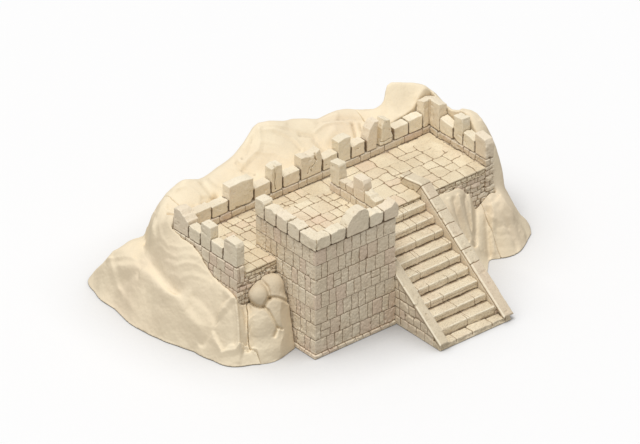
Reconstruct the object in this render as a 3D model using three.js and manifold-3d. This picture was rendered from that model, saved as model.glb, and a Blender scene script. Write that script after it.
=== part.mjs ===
// Miniature tabletop terrain: a ruined hillside watch post.
// A square masonry tower stands in front of a flagstone walkway with a broken crenellated
// wall along its back. Stone steps with sloped copings climb beside the tower, and a rock
// outcrop surrounds the masonry. Every named stone, slab, wall and boulder is a separate mesh.
// Millimetres, +Z up, front towards -Y, left towards -X; origin at the middle of the
// footprint on the table.
import * as THREE from "three";
import { mergeVertices } from "three/addons/utils/BufferGeometryUtils.js";
import Module from "manifold-3d";

// ---------- driving dimensions ----------
// The layout is drawn in units of 1/100 tower width, with its origin at the tower's
// front left corner. The solid helpers convert it to millimetres.
const UNIT = 0.75; // mm per layout unit
const GAP = 0.4; // clearance between neighbouring pieces

const TOWER_W = 100; // along X
const TOWER_D = 89; // along Y
const TOWER_FLOOR_Z = 112;
const TOWER_WALL_TOP_Z = 120;
const PARAPET_T = 11; // left and front tower parapets
const TOWER_RIGHT_IN = 92; // inner face of the right tower parapet
const TOWER_WALL_Z = 90; // parapet walls start here, inside the tower body
const PLINTH_H = 4;
const PLINTH_OUT = 1.5;
const PLINTH_BACK_Y = 50;

const FLOOR_T = 7.6; // flagstone slab thickness
const WALK_Z = 86; // walkway and terrace floor level
const WALK_BOTTOM_Z = WALK_Z - FLOOR_T;
const TERRACE_TOP_Z = WALK_BOTTOM_Z - GAP; // top of the core and retaining walls
const COURSE_TOP_Z = 93; // top of the parapet base course
const LEFT_X = -50; // outer face of the left wall
const LEFT_IN = -38.4;
const RIGHT_X = 274.5; // outer face of the right wall
const RIGHT_IN = 263;
const FRONT_Y = 57; // front face of the terraces
const FRONT_IN = 69; // inner face of the front retaining walls
const BACK_IN = 142; // inner face of the back wall
const BACK_OUT = 154;
const TERRACE_X0 = LEFT_IN + GAP;
const TERRACE_X1 = RIGHT_IN - GAP;
const TERRACE_Y1 = BACK_IN - GAP;
const BESIDE_TOWER_X = TOWER_W + GAP;

const CUT_BOTTOM = -5; // cutting shapes reach past the model below and above
const CUT_TOP = 220;

const STONE_COLOR = 0xd9c6a3;
const FLOOR_COLOR = 0xdcc9a8;
const ROCK_COLOR = 0xd6c19c;

const manifold = await Module();
manifold.setup();

// ---------- solids, from layout units to millimetres ----------
function toSolid(geometry) {
  // Normals and UVs would keep shared corners apart.
  geometry.deleteAttribute("normal");
  geometry.deleteAttribute("uv");
  const merged = mergeVertices(geometry, 1e-4);
  return new manifold.Manifold(
    new manifold.Mesh({
      numProp: 3,
      vertProperties: new Float32Array(merged.attributes.position.array),
      triVerts: new Uint32Array(merged.index.array),
    }),
  );
}

function box(x0, x1, y0, y1, z0, z1) {
  const geometry = new THREE.BoxGeometry((x1 - x0) * UNIT, (y1 - y0) * UNIT, (z1 - z0) * UNIT);
  geometry.translate(((x0 + x1) / 2) * UNIT, ((y0 + y1) / 2) * UNIT, ((z0 + z1) / 2) * UNIT);
  return toSolid(geometry);
}

function extrude(outline, depth) {
  const shape = new THREE.Shape(outline.map(([a, b]) => new THREE.Vector2(a * UNIT, b * UNIT)));
  return new THREE.ExtrudeGeometry(shape, {
    depth: depth * UNIT,
    bevelEnabled: false,
    curveSegments: 1,
  });
}

// Outline in Y-Z, swept along X.
function prismX(outline, x0, x1) {
  const geometry = extrude(outline, x1 - x0).rotateX(Math.PI / 2).rotateZ(Math.PI / 2);
  return toSolid(geometry.translate(x0 * UNIT, 0, 0));
}

// Outline in X-Z, swept along Y.
const prismY = (outline, y0, y1) =>
  toSolid(extrude(outline, y1 - y0).rotateX(Math.PI / 2).translate(0, y1 * UNIT, 0));

// Outline in X-Y, swept along Z.
const prismZ = (outline, z0, z1) =>
  toSolid(extrude(outline, z1 - z0).translate(0, 0, z0 * UNIT));

const join = (...solids) => solids.reduce((a, b) => a.add(b));

// ---------- pieces ----------
const site = new THREE.Group();

const matte = (color) =>
  new THREE.MeshStandardMaterial({ color, roughness: 0.85, metalness: 0 });

function piece(name, solid, color = STONE_COLOR) {
  const { vertProperties, triVerts } = solid.getMesh();
  const geometry = new THREE.BufferGeometry();
  geometry.setAttribute(
    "position",
    new THREE.BufferAttribute(new Float32Array(vertProperties), 3),
  );
  geometry.setIndex(new THREE.BufferAttribute(new Uint32Array(triVerts), 1));
  geometry.computeVertexNormals();
  const mesh = new THREE.Mesh(geometry, matte(color));
  mesh.name = name;
  site.add(mesh);
}

// A row of parapet stones with flat undersides at baseZ, swept from `from` to `to`.
// Table rows: name, start and end of the underside along the wall, then the remaining
// outline points [along the wall, z], going up from the end and back to the start.
function stoneRow(prism, from, to, baseZ, table) {
  for (const [name, start, end, ...upper] of table) {
    piece(name, prism([[start, baseZ], [end, baseZ], ...upper], from, to));
  }
}

// ---------- tower body ----------
piece(
  "tower_block",
  join(
    box(0, TOWER_W, 0, TOWER_D, 0, TOWER_FLOOR_Z - FLOOR_T - GAP),
    box(0, TOWER_W, 0, PARAPET_T, TOWER_WALL_Z, TOWER_WALL_TOP_Z),
    box(0, PARAPET_T, 0, TOWER_D, TOWER_WALL_Z, TOWER_WALL_TOP_Z),
    box(TOWER_RIGHT_IN, TOWER_W, 0, TOWER_D, TOWER_WALL_Z, TOWER_FLOOR_Z),
    box(-PLINTH_OUT, TOWER_W, -PLINTH_OUT, PLINTH_BACK_Y, 0, PLINTH_H),
  ),
);
piece(
  "tower_floor",
  box(
    PARAPET_T + GAP, TOWER_RIGHT_IN - GAP,
    PARAPET_T + GAP, TOWER_D,
    TOWER_FLOOR_Z - FLOOR_T, TOWER_FLOOR_Z,
  ),
  FLOOR_COLOR,
);

// Right parapet course, with one low stone standing on it.
const COURSE_X1 = TOWER_W + 1.5;
piece(
  "tower_right_parapet_course",
  join(
    box(
      TOWER_RIGHT_IN, COURSE_X1,
      PARAPET_T + GAP, TOWER_D,
      TOWER_FLOOR_Z + GAP, TOWER_WALL_TOP_Z,
    ),
    box(TOWER_RIGHT_IN, COURSE_X1, 54.6, 74.4, TOWER_WALL_TOP_Z - 2, 130),
  ),
);

// ---------- terraces ----------
const CORE_LAP_Y = 92; // the core's side blocks run back into its main block
const coreSide = (x0, x1) => box(x0, x1, FRONT_IN + GAP, CORE_LAP_Y, 0, TERRACE_TOP_Z);
piece(
  "terrace_core",
  join(
    box(TERRACE_X0, TERRACE_X1, TOWER_D + 2 * GAP, TERRACE_Y1, 0, TERRACE_TOP_Z),
    coreSide(TERRACE_X0, -GAP),
    coreSide(BESIDE_TOWER_X, TERRACE_X1),
  ),
);
piece(
  "left_terrace_wall",
  join(
    box(LEFT_X, -PLINTH_OUT, FRONT_Y, FRONT_IN, 0, TERRACE_TOP_Z),
    box(LEFT_X, LEFT_IN, FRONT_Y, TERRACE_Y1, 0, COURSE_TOP_Z),
  ),
);

const floorSlab = (x0, x1, y0) => box(x0, x1, y0, TERRACE_Y1, WALK_BOTTOM_Z, WALK_Z);
piece("left_terrace_floor", floorSlab(TERRACE_X0, -GAP, FRONT_Y), FLOOR_COLOR);
piece("walkway_floor", floorSlab(0, TOWER_W, TOWER_D + GAP), FLOOR_COLOR);

// Low raised patch in the back right corner of the terrace, as [x, y].
const RAISED_PATCH = [
  [TERRACE_X1, 74], [TERRACE_X1, TERRACE_Y1], [222, TERRACE_Y1], [238, 128], [250, 108],
];
piece(
  "right_terrace_floor",
  join(
    floorSlab(BESIDE_TOWER_X, TERRACE_X1, FRONT_Y),
    prismZ(RAISED_PATCH, WALK_Z - 1, WALK_Z + 2.4),
  ),
  FLOOR_COLOR,
);
piece(
  "right_terrace_front_wall",
  box(BESIDE_TOWER_X, TERRACE_X1, FRONT_Y, FRONT_IN, 0, TERRACE_TOP_Z),
);
piece("right_side_wall", box(RIGHT_IN, RIGHT_X, FRONT_Y, TERRACE_Y1, 0, COURSE_TOP_Z));

// Low crenel stones joined to the back wall: x start, x end, top z.
const LOW_BACK_STONES = [
  [-34, -10.6, 109], [-10.2, 9.6, 108], [44.4, 62, 109], [80, 99.4, 108],
  [130, 146.6, 108.5], [166, 181.4, 109], [219.4, 237, 108], [237.4, 254, 110],
];
const LOW_STONE_INSET = 0.5;
const LOW_STONE_BED = 2; // depth sunk into the base course
piece(
  "back_wall",
  join(
    box(LEFT_X, RIGHT_X, BACK_IN, BACK_OUT, 0, COURSE_TOP_Z),
    ...LOW_BACK_STONES.map(([x0, x1, top]) =>
      box(
        x0, x1,
        BACK_IN + LOW_STONE_INSET, BACK_OUT - LOW_STONE_INSET,
        COURSE_TOP_Z - LOW_STONE_BED, top,
      ),
    ),
  ),
);

// ---------- terrace parapet stones ----------
const STONE_INSET = 0.4; // set back from the wall faces
const STONE_Z = COURSE_TOP_Z + GAP;
const BACK_STONE_Y0 = BACK_IN + STONE_INSET;
const BACK_STONE_Y1 = BACK_OUT - STONE_INSET;
const LEFT_STONE_X0 = LEFT_X + STONE_INSET;
const RIGHT_STONE_X0 = RIGHT_IN + STONE_INSET;
const RIGHT_STONE_X1 = RIGHT_X - STONE_INSET;

// Left corner stone, its upper front edge broken off at a slope.
piece(
  "corner_merlon_left_back",
  box(LEFT_STONE_X0, -36, 131, BACK_STONE_Y1, STONE_Z, 119).subtract(
    prismX([[131, 112], [131, 125], [143, 125]], -60, -30),
  ),
);

stoneRow(prismY, BACK_STONE_Y0, BACK_STONE_Y1, STONE_Z, [
  ["back_merlon_wide", 11, 38, [42, STONE_Z + 5], [42, 120], [27, 122], [11, 121]],
  ["back_merlon_split", 64, 78, [78, 122], [70, 123], [64, 121]],
  ["back_merlon_cracked", 101, 127, [128, 112], [125, 121], [113, 117], [101, 119]],
  ["back_merlon_narrow", 148, 164, [164, 120], [156, 121], [148, 119]],
  ["back_merlon_slanted", 184, 194, [198, 118], [190, 119], [183, 112]],
  ["back_merlon_leaning", 200, 217, [213, 117], [204, 119], [201, 112]],
]);

// Right corner stone: an L that turns from the back wall onto the right wall.
piece(
  "corner_merlon_right_back",
  join(
    box(256, RIGHT_STONE_X1, BACK_STONE_Y0, BACK_STONE_Y1, STONE_Z, 124),
    box(RIGHT_STONE_X0, RIGHT_STONE_X1, 128, BACK_IN + 1, STONE_Z, 124),
  ),
);

stoneRow(prismX, LEFT_STONE_X0, LEFT_IN - STONE_INSET, STONE_Z, [
  ["left_low_stone_back", 113, 130.4, [130.4, 109], [113, 107.5]],
  ["left_merlon_back", 97, 112.6, [112.6, 119], [110, 121], [97, 120]],
  ["left_low_stone_front", 79, 96.6, [96.6, 108.5], [79, 106.5]],
  ["left_merlon_corner", 58, 78.6, [77.5, 117], [74, 120.5], [60, 119.5], [58, 116]],
]);

stoneRow(prismX, RIGHT_STONE_X0, RIGHT_STONE_X1, STONE_Z, [
  ["right_low_stone_back", 107.6, 127.6, [127.6, 110], [107.6, 108]],
  ["right_merlon_middle", 93, 107.2, [107.2, 122], [93, 123.5]],
  ["right_low_stone_front", 75, 92.6, [92.6, 110], [75, 108]],
  ["right_merlon_end", 57.4, 74.6, [74.6, 117], [60, 115], [57.4, 110]],
]);

// ---------- tower parapet stones ----------
const TOWER_STONE_Z = TOWER_WALL_TOP_Z + GAP;
const STONE_OUT = 1.5; // left and front stones stand proud of the wall below
const RIGHT_STONE_OUT = 2.5; // right stones stand further out

stoneRow(prismX, -STONE_OUT, PARAPET_T, TOWER_STONE_Z, [
  ["tower_merlon_left", 75, TOWER_D, [TOWER_D, 140], [77, 141], [75, 138]],
  ["tower_left_stone_1", 57.4, 74.6, [74.6, 137], [64, 138.5], [57.4, 136]],
  ["tower_left_stone_2", 40.4, 57, [57, 137.5], [48, 136], [40.4, 137.5]],
  ["tower_left_stone_3", 22.4, 40, [40, 136], [30, 137.5], [22.4, 135]],
]);

// L-shaped stone on the front left corner.
const CORNER_TOP_Z = 134.5;
piece(
  "tower_corner_stone",
  join(
    box(-STONE_OUT, 18, -STONE_OUT, PARAPET_T, TOWER_STONE_Z, CORNER_TOP_Z),
    box(-STONE_OUT, PARAPET_T, -STONE_OUT, 22, TOWER_STONE_Z, CORNER_TOP_Z),
  ),
);

stoneRow(prismY, -STONE_OUT, PARAPET_T, TOWER_STONE_Z, [
  ["tower_front_stone_1", 18.4, 37.4, [37.4, 134], [28, 135.5], [18.4, 133.5]],
  [
    "tower_front_arch_stone", 37.8, 66,
    [66, 136], [63, 142], [56, 146.5], [48, 144], [40, 139], [37.8, 134],
  ],
  ["tower_front_stone_2", 66.4, 84, [84, 133.5], [75, 136], [66.4, 134]],
  ["tower_front_stone_3", 84.4, 103, [103, 133], [99, 139.5], [90, 134.5], [84.4, 134]],
]);

stoneRow(prismX, TOWER_RIGHT_IN, TOWER_W + RIGHT_STONE_OUT, TOWER_STONE_Z, [
  ["tower_merlon_right_back", 74.8, TOWER_D, [TOWER_D, 145], [76, 146], [74.8, 144]],
  ["tower_merlon_right_middle", 38, 54.2, [54.2, 144], [40, 145], [38, 141]],
  ["tower_right_broken_stone", 20, 37.6, [37.6, 138], [28, 132], [20, 126]],
]);

// ---------- stair ----------
const STAIR_X0 = BESIDE_TOWER_X;
const STAIR_X1 = 190;
const STAIR_LEFT_IN = 110.6; // inner faces of the side walls
const STAIR_RIGHT_IN = 180;
const STAIR_Y0 = -66.5; // front of the base slab
const STAIR_Y1 = FRONT_Y - GAP;
const STEP_X0 = 111.4;
const STEP_X1 = STAIR_RIGHT_IN - GAP;
const SLAB_H = 6;
const FIRST_STEP_Y = -54.9;
const STEP_RUN = 12.86;
const STEP_RISE = 8.46;
const STEP_COUNT = 9;

piece(
  "stair_base_slab",
  box(STAIR_X0, STAIR_X1, STAIR_Y0, FIRST_STEP_Y - GAP, 0, SLAB_H),
  FLOOR_COLOR,
);

// The first step stands on the table; the others lie on the step below.
// All of them run back to the terrace.
for (let i = 1; i <= STEP_COUNT; i++) {
  const y = FIRST_STEP_Y + (i - 1) * STEP_RUN;
  const bottom = i === 1 ? 0 : SLAB_H + (i - 1) * STEP_RISE + GAP;
  const top = SLAB_H + i * STEP_RISE;
  piece(`stair_step_${i}`, box(STEP_X0, STEP_X1, y, STAIR_Y1, bottom, top), FLOOR_COLOR);
}

const COPING_T = 4.6; // measured straight down
const COPING_SLOPE = 0.7285; // rise over run
const COPING_Z0 = 9; // coping top at the front of the base slab
const COPING_Y0 = STAIR_Y0 - 1;
const COPING_X0 = STAIR_X0 - 1;
const COPING_X1 = 192.4;
const copingTop = (y) => COPING_Z0 + COPING_SLOPE * (y - STAIR_Y0);
const sideWallTop = (y) => copingTop(y) - COPING_T - GAP;

// Side walls under the copings, as [y, z].
const SIDE_WALL = [
  [FIRST_STEP_Y, 0],
  [STAIR_Y1, 0],
  [STAIR_Y1, sideWallTop(STAIR_Y1)],
  [FIRST_STEP_Y, sideWallTop(FIRST_STEP_Y)],
];
piece("stair_left_wall", prismX(SIDE_WALL, STAIR_X0, STAIR_LEFT_IN));
piece("stair_right_wall", prismX(SIDE_WALL, STAIR_RIGHT_IN, STAIR_X1));

// Flat foot of each coping, up to where the sloped underside leaves the base slab.
const FOOT_Z = SLAB_H + GAP;
const FOOT_BACK_Y = STAIR_Y0 + (FOOT_Z + COPING_T - COPING_Z0) / COPING_SLOPE;
const COPING_FOOT = [
  [FOOT_BACK_Y, FOOT_Z],
  [COPING_Y0, FOOT_Z],
  [COPING_Y0, copingTop(COPING_Y0)],
];
const COPING_UNDERSIDE_END = [STAIR_Y1, copingTop(STAIR_Y1) - COPING_T];

// The left coping is cut back to clear the tower.
piece(
  "stair_left_coping",
  prismX(
    [...COPING_FOOT, [STAIR_Y1, copingTop(STAIR_Y1)], COPING_UNDERSIDE_END],
    COPING_X0,
    111,
  ).subtract(box(0, BESIDE_TOWER_X, -GAP, TOWER_D, CUT_BOTTOM, CUT_TOP)),
);

// The right coping carries on over the terrace floor.
const SLOPE_END_Y = 57.6;
const RIGHT_COPING_Y1 = 88;
piece(
  "stair_right_coping",
  prismX(
    [
      ...COPING_FOOT,
      [SLOPE_END_Y, copingTop(SLOPE_END_Y)],
      [RIGHT_COPING_Y1, 95.2],
      [RIGHT_COPING_Y1, WALK_Z + GAP],
      [STAIR_Y1, WALK_Z + GAP],
      COPING_UNDERSIDE_END,
    ],
    STAIR_RIGHT_IN,
    COPING_X1,
  ),
);

// ---------- rock outcrop ----------
// The rock surface is a height over (x, y), interpolated between control points:
// an outline at table level, and crests, saddles and spurs inside it.
const ROCK_GRID = 7; // spacing of the surface grid
const ROCK_ROUND = 16; // squared rounding radius at the control points
const OUTLINE_STEP = 22; // outline edges are divided into parts at least this long
const PLANE_SPAN = 100; // scales the plane terms of the fit

// Table-level outline, [x, y], from the tower's left side round the back to the stair.
const OUTLINE = [
  [2, 27], [-9, 24], [-20, 21.5], [-33, 19.5], [-45, 23.5], [-53, 29], [-64, 34], [-73, 42],
  [-78, 59], [-82, 84], [-88, 104], [-93, 124], [-96, 144], [-97, 165], [-95, 177], [-92, 193],
  [-92, 212], [-87, 230], [-78, 251], [-64, 258], [-50, 258], [-20, 258], [20, 256], [60, 258],
  [100, 262], [140, 258], [180, 254], [220, 248], [255, 236], [285, 218], [305, 190], [315, 155],
  [324, 118], [324, 85], [318, 52], [309, 41], [300, 35], [287, 26.5], [272, 21], [255, 25],
  [246, 29], [225, 20], [205, 10], [188, 4],
];

// Surface points, [x, y, z].
const CONTROL = [
  // contact with the left wall, back to front
  [-50, 146, 93], [-50, 127, 92], [-50, 110, 84], [-50, 96, 73], [-50, 79, 67], [-50, 60, 63],
  [-30, 146, 96], [0, 152, 98],
  // below the masonry
  [-20, 100, 80], [50, 100, 95], [150, 100, 85], [220, 100, 80], [50, 40, 60],
  // left hill
  [-66, 92, 46], [-75, 84, 20], [-60, 60, 50], [-66, 50, 25], [-84, 124, 24], [-70, 122, 56],
  [-60, 117, 73], [-84, 150, 24], [-68, 156, 56], [-80, 180, 22], [-66, 186, 42],
  [-50, 160, 99], [-46, 172, 98], [-56, 178, 82], [-75, 205, 24], [-60, 200, 52],
  [-50, 194, 64], [-46, 184, 94], [-38, 193, 92], [-30, 203, 86], [-57, 225, 38],
  [-49.5, 217, 46], [-43, 211, 52], [-70, 229, 27], [-68, 244, 14], [-36, 216, 42],
  [-30, 230, 27],
  // front spur
  [-50, 56, 60], [-52, 44, 36], [-56, 38, 16], [-40, 52, 50],
  // front boulders
  [-30, 52, 66], [-16, 50, 70], [-10, 44, 62], [-25, 40, 48], [-12, 34, 38], [-30, 32, 24],
  [-8, 30, 20],
  // ridge behind the back wall
  [-30, 175, 106], [-10, 185, 118], [10, 180, 112], [26, 190, 107], [55, 195, 109],
  [80, 200, 124], [95, 203, 130], [113, 205, 127], [148, 203, 120], [185, 195, 115],
  [207, 195, 112], [220, 186, 109], [229, 176, 112], [237, 173, 134], [248, 172, 134],
  [265, 161, 131], [277, 157, 124], [40, 165, 99], [80, 168, 104], [120, 168, 108],
  [160, 165, 104], [200, 165, 100], [225, 160, 108], [255, 158, 122], [-5, 225, 58],
  [40, 232, 70], [90, 236, 72], [140, 236, 66], [190, 230, 60], [240, 212, 70], [270, 195, 74],
  [150, 220, 98], [100, 225, 100], [200, 215, 88], [20, 215, 88],
  // right flank and buttress
  [277, 147, 117], [286, 108, 119], [281, 85, 103], [288, 66, 57], [277, 120, 117],
  [295, 100, 108], [301, 90, 86], [303, 84, 64], [306, 75, 40], [312, 120, 50], [300, 150, 72],
  [285, 180, 86], [276, 62, 60], [300, 58, 30], [285, 45, 38], [268, 45, 45], [262, 57, 55],
  [250, 57, 50], [240, 57, 68], [225, 52, 72], [206, 54, 76], [195, 50, 70], [215, 42, 50],
  [232, 45, 45], [250, 42, 28], [272, 34, 24], [200, 30, 36], [290, 38, 16], [306, 50, 14],
];

// Table-level points along the open outline; its last point only ends the last edge.
function outlinePoints() {
  const points = [];
  for (let i = 0; i + 1 < OUTLINE.length; i++) {
    const [ax, ay] = OUTLINE[i];
    const [bx, by] = OUTLINE[i + 1];
    const parts = Math.max(1, Math.floor(Math.hypot(bx - ax, by - ay) / OUTLINE_STEP));
    for (let k = 0; k < parts; k++) {
      points.push([ax + ((bx - ax) * k) / parts, ay + ((by - ay) * k) / parts, 0]);
    }
  }
  return points;
}

const roundedDistance = (x, y, point) =>
  Math.sqrt((x - point[0]) ** 2 + (y - point[1]) ** 2 + ROCK_ROUND);

// Gaussian elimination with row pivoting; the last column is the right-hand side.
function solveLinear(rows) {
  const size = rows.length;
  for (let col = 0; col < size; col++) {
    let pivot = col;
    for (let r = col + 1; r < size; r++) {
      if (Math.abs(rows[r][col]) > Math.abs(rows[pivot][col])) pivot = r;
    }
    [rows[col], rows[pivot]] = [rows[pivot], rows[col]];
    for (let r = col + 1; r < size; r++) {
      const factor = rows[r][col] / rows[col][col];
      for (let k = col; k <= size; k++) rows[r][k] -= factor * rows[col][k];
    }
  }
  const solution = new Float64Array(size);
  for (let r = size - 1; r >= 0; r--) {
    let sum = rows[r][size];
    for (let k = r + 1; k < size; k++) sum -= rows[r][k] * solution[k];
    solution[r] = sum / rows[r][r];
  }
  return solution;
}

// Radial interpolation: one weight per control point, and a plane.
function fitSurface(points) {
  const count = points.length;
  const size = count + 3;
  const rows = Array.from({ length: size }, () => new Float64Array(size + 1));
  points.forEach(([x, y, z], i) => {
    points.forEach((point, j) => {
      rows[i][j] = roundedDistance(x, y, point);
    });
    [1, x / PLANE_SPAN, y / PLANE_SPAN].forEach((term, k) => {
      rows[i][count + k] = term;
      rows[count + k][i] = term;
    });
    rows[i][size] = z;
  });
  const weights = solveLinear(rows);
  const [level, slopeX, slopeY] = weights.slice(count);
  return (x, y) =>
    points.reduce(
      (z, point, i) => z + weights[i] * roundedDistance(x, y, point),
      level + (slopeX * x) / PLANE_SPAN + (slopeY * y) / PLANE_SPAN,
    );
}

const ROCK_X0 = -105;
const ROCK_X1 = 335;
const ROCK_Y0 = -5;
const ROCK_Y1 = 275;
const BLOCK_H = 20; // flat block whose top is raised to the rock surface
const BLOCK_Z = -30; // middle of the block
const BLOCK_TOP_ABOVE = -25; // vertices above this level belong to its top
const LOWEST_ROCK_Z = -18;

function buildHill() {
  const rockHeight = fitSurface([...outlinePoints(), ...CONTROL]);
  const width = ROCK_X1 - ROCK_X0;
  const depth = ROCK_Y1 - ROCK_Y0;
  const block = new THREE.BoxGeometry(
    width * UNIT, depth * UNIT, BLOCK_H * UNIT,
    Math.round(width / ROCK_GRID), Math.round(depth / ROCK_GRID), 1,
  );
  block.translate(
    ((ROCK_X0 + ROCK_X1) / 2) * UNIT,
    ((ROCK_Y0 + ROCK_Y1) / 2) * UNIT,
    BLOCK_Z * UNIT,
  );
  const position = block.attributes.position;
  for (let i = 0; i < position.count; i++) {
    if (position.getZ(i) > BLOCK_TOP_ABOVE * UNIT) {
      const z = rockHeight(position.getX(i) / UNIT, position.getY(i) / UNIT);
      position.setZ(i, Math.max(z, LOWEST_ROCK_Z) * UNIT);
    }
  }
  // Only the part above the table stays.
  const aboveTable = box(ROCK_X0 - 1, ROCK_X1 + 1, ROCK_Y0 - 1, ROCK_Y1 + 1, 0, 200);
  return toSolid(block).intersect(aboveTable);
}

// Room for the terraces, tower and stair, with clearance.
const room = (x0, x1, y0, y1) => box(x0, x1, y0, y1, CUT_BOTTOM, CUT_TOP);
const masonryRoom = join(
  room(LEFT_X - GAP, RIGHT_X + GAP, FRONT_Y - GAP, BACK_OUT + GAP),
  room(-PLINTH_OUT - GAP, BESIDE_TOWER_X, -30, 60),
  room(STAIR_X0 - 1, COPING_X1 + GAP, -80, 60),
);
const rocks = buildHill().subtract(masonryRoom);

// Rock pieces and the plan zone, [x, y], each one fills.
const ROCK_ZONES = {
  rock_left_hill: [
    [-54, 15], [-39, 58], [-45, 100], [-45, 150], [-30, 150], [-30, 280], [-120, 280], [-120, 15],
  ],
  rock_front_boulders: [[-53.4, 15], [-1, 15], [-1, 58], [-38.4, 58]],
  rock_back_ridge: [[-29.6, 150], [208, 150], [208, 280], [-29.6, 280]],
  rock_peak: [[208.4, 150], [340, 150], [340, 280], [208.4, 280]],
  rock_right_flank: [
    [256.4, 0], [340, 0], [340, 149.6], [270, 149.6], [270, 62], [256.4, 62],
  ],
  rock_right_buttress: [[190, 0], [256, 0], [256, 62], [190, 62]],
};
for (const [name, outline] of Object.entries(ROCK_ZONES)) {
  piece(name, rocks.intersect(prismZ(outline, CUT_BOTTOM, CUT_TOP)), ROCK_COLOR);
}

// ---------- origin at the middle of the footprint, on the table ----------
const { min, max } = new THREE.Box3().setFromObject(site, true);
site.position.set(-(min.x + max.x) / 2, -(min.y + max.y) / 2, -min.z);
const ruin = new THREE.Group();
ruin.add(site);
export default ruin;
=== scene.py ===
"""A castle terrace on a rock outcrop: square tower, paved terraces with parapets, long stair.

x runs to the right, y to the back, z up from the table at z = 0. The tower stands with its
front left corner at layout (0, 0); the stair comes down to the front beside it.
"""
import math
from itertools import product
import bpy
import numpy as np
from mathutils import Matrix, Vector

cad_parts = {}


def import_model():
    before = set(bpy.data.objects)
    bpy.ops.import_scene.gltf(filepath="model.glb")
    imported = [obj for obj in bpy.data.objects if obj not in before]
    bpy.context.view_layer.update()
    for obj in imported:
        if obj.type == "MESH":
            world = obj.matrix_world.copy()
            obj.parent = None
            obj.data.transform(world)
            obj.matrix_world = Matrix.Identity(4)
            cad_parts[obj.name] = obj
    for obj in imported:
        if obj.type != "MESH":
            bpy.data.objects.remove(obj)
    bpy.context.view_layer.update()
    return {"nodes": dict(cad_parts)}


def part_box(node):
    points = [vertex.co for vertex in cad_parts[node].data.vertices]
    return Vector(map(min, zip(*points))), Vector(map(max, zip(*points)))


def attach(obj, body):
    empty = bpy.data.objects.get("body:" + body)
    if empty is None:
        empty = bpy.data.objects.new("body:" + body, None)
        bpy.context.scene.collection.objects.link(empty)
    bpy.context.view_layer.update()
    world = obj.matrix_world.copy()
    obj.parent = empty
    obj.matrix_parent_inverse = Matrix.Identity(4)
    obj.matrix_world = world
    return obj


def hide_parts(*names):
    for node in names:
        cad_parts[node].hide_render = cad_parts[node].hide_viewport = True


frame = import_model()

# ------------------------------------------------------------ layout
# Sizes and places are in layout units of 0.75 mm; the tower is 100 wide.
# A box is (x0, x1, y0, y1, z0, z1).
UNIT = 0.75
STAIR_LEFT, STAIR_RIGHT = 100.4, 190
STAIR_FRONT, FIRST_STEP, STAIR_BACK = -66.5, -54.9, 56.6
base_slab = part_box("stair_base_slab")
ORIGIN_X = base_slab[0].x * 1000 - STAIR_LEFT * UNIT
ORIGIN_Y = base_slab[0].y * 1000 - STAIR_FRONT * UNIT
COARSENESS = 1.0

TOWER_BACK = 89
TOWER_SPLIT, TOWER_BODY_TOP, TOWER_WALL_TOP = 53.8, 103.6, 120
TOWER_FLOOR_TOP = 112
FRONT, BACK = 57, 141.6                 # terrace paving, front and back edges
PAVING = (78.4, 86)                     # terrace paving, underside and top
LEFT_PAVING = (-38, -0.4, FRONT, BACK, *PAVING)
RIGHT_PAVING = (100.4, 262.6, FRONT, BACK, *PAVING)
TERRACE_LEFT, TERRACE_RIGHT = -50, 274.5
WALL_TOP = 93
MERLON_FRONT, MERLON_BACK = 142.4, 153.6
PARAPET, TOWER_PARAPET = 93.4, 120.4    # undersides of the parapet stones


def world(points):
    """layout points to metres in the CAD frame"""
    points = np.asarray(points, np.float64) * UNIT
    points[:, 0] += ORIGIN_X
    points[:, 1] += ORIGIN_Y
    return points / 1000.0


# ------------------------------------------------------------ noise and easing
LATTICE = np.random.default_rng(11).random(64 ** 3).astype(np.float32) * 2 - 1


def noise(x, y, z, seed):
    """smooth value noise between -1 and 1, one lattice cell per unit"""
    x = np.asarray(x, np.float32) + np.float32(13.7 * seed)
    y = np.asarray(y, np.float32) - np.float32(7.3 * seed)
    z = np.asarray(z, np.float32) + np.float32(3.1 * seed)
    cells, weights = [], []
    for value, shift in zip(np.broadcast_arrays(x, y, z), (12, 6, 0)):
        cell = np.floor(value)
        part = value - cell
        cell = cell.astype(np.int32)
        cells.append(((cell & 63) << shift, ((cell + 1) & 63) << shift))
        weights.append(part * part * (3 - 2 * part))
    (x0, x1), (y0, y1), (z0, z1) = cells
    along_x, along_y, along_z = weights

    def edge(corner):
        return LATTICE[corner + z0] * (1 - along_z) + LATTICE[corner + z1] * along_z

    def side(corner):
        return edge(corner + y0) * (1 - along_y) + edge(corner + y1) * along_y

    return side(x0) * (1 - along_x) + side(x1) * along_x


def rough(x, y, z, frequency, seed, octaves=1):
    """noise at one frequency, or several octaves of it summed"""
    total, amount = 0.0, 1.0
    for k in range(octaves):
        total = total + amount * noise(x * frequency, y * frequency, z * frequency, seed + 5 * k)
        frequency *= 2.03
        amount *= 0.5
    return total


def ease(low, high, value):
    """0 below low, 1 above high, smooth between"""
    part = np.clip((value - low) / (high - low), 0, 1)
    return part * part * (3 - 2 * part)


def fade(low, high, value):
    return 1 - ease(low, high, value)


# ------------------------------------------------------------ distance fields
def box_field(x, y, z, box):
    out_x, out_y, out_z = (np.abs(value - (low + high) / 2) - (high - low) / 2
                           for value, low, high in zip((x, y, z), box[::2], box[1::2]))
    outside = np.sqrt(np.maximum(out_x, 0) ** 2 + np.maximum(out_y, 0) ** 2
                      + np.maximum(out_z, 0) ** 2)
    inside = np.minimum(np.maximum(np.maximum(out_x, out_y), out_z), 0)
    return (outside + inside).astype(np.float32)


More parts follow.
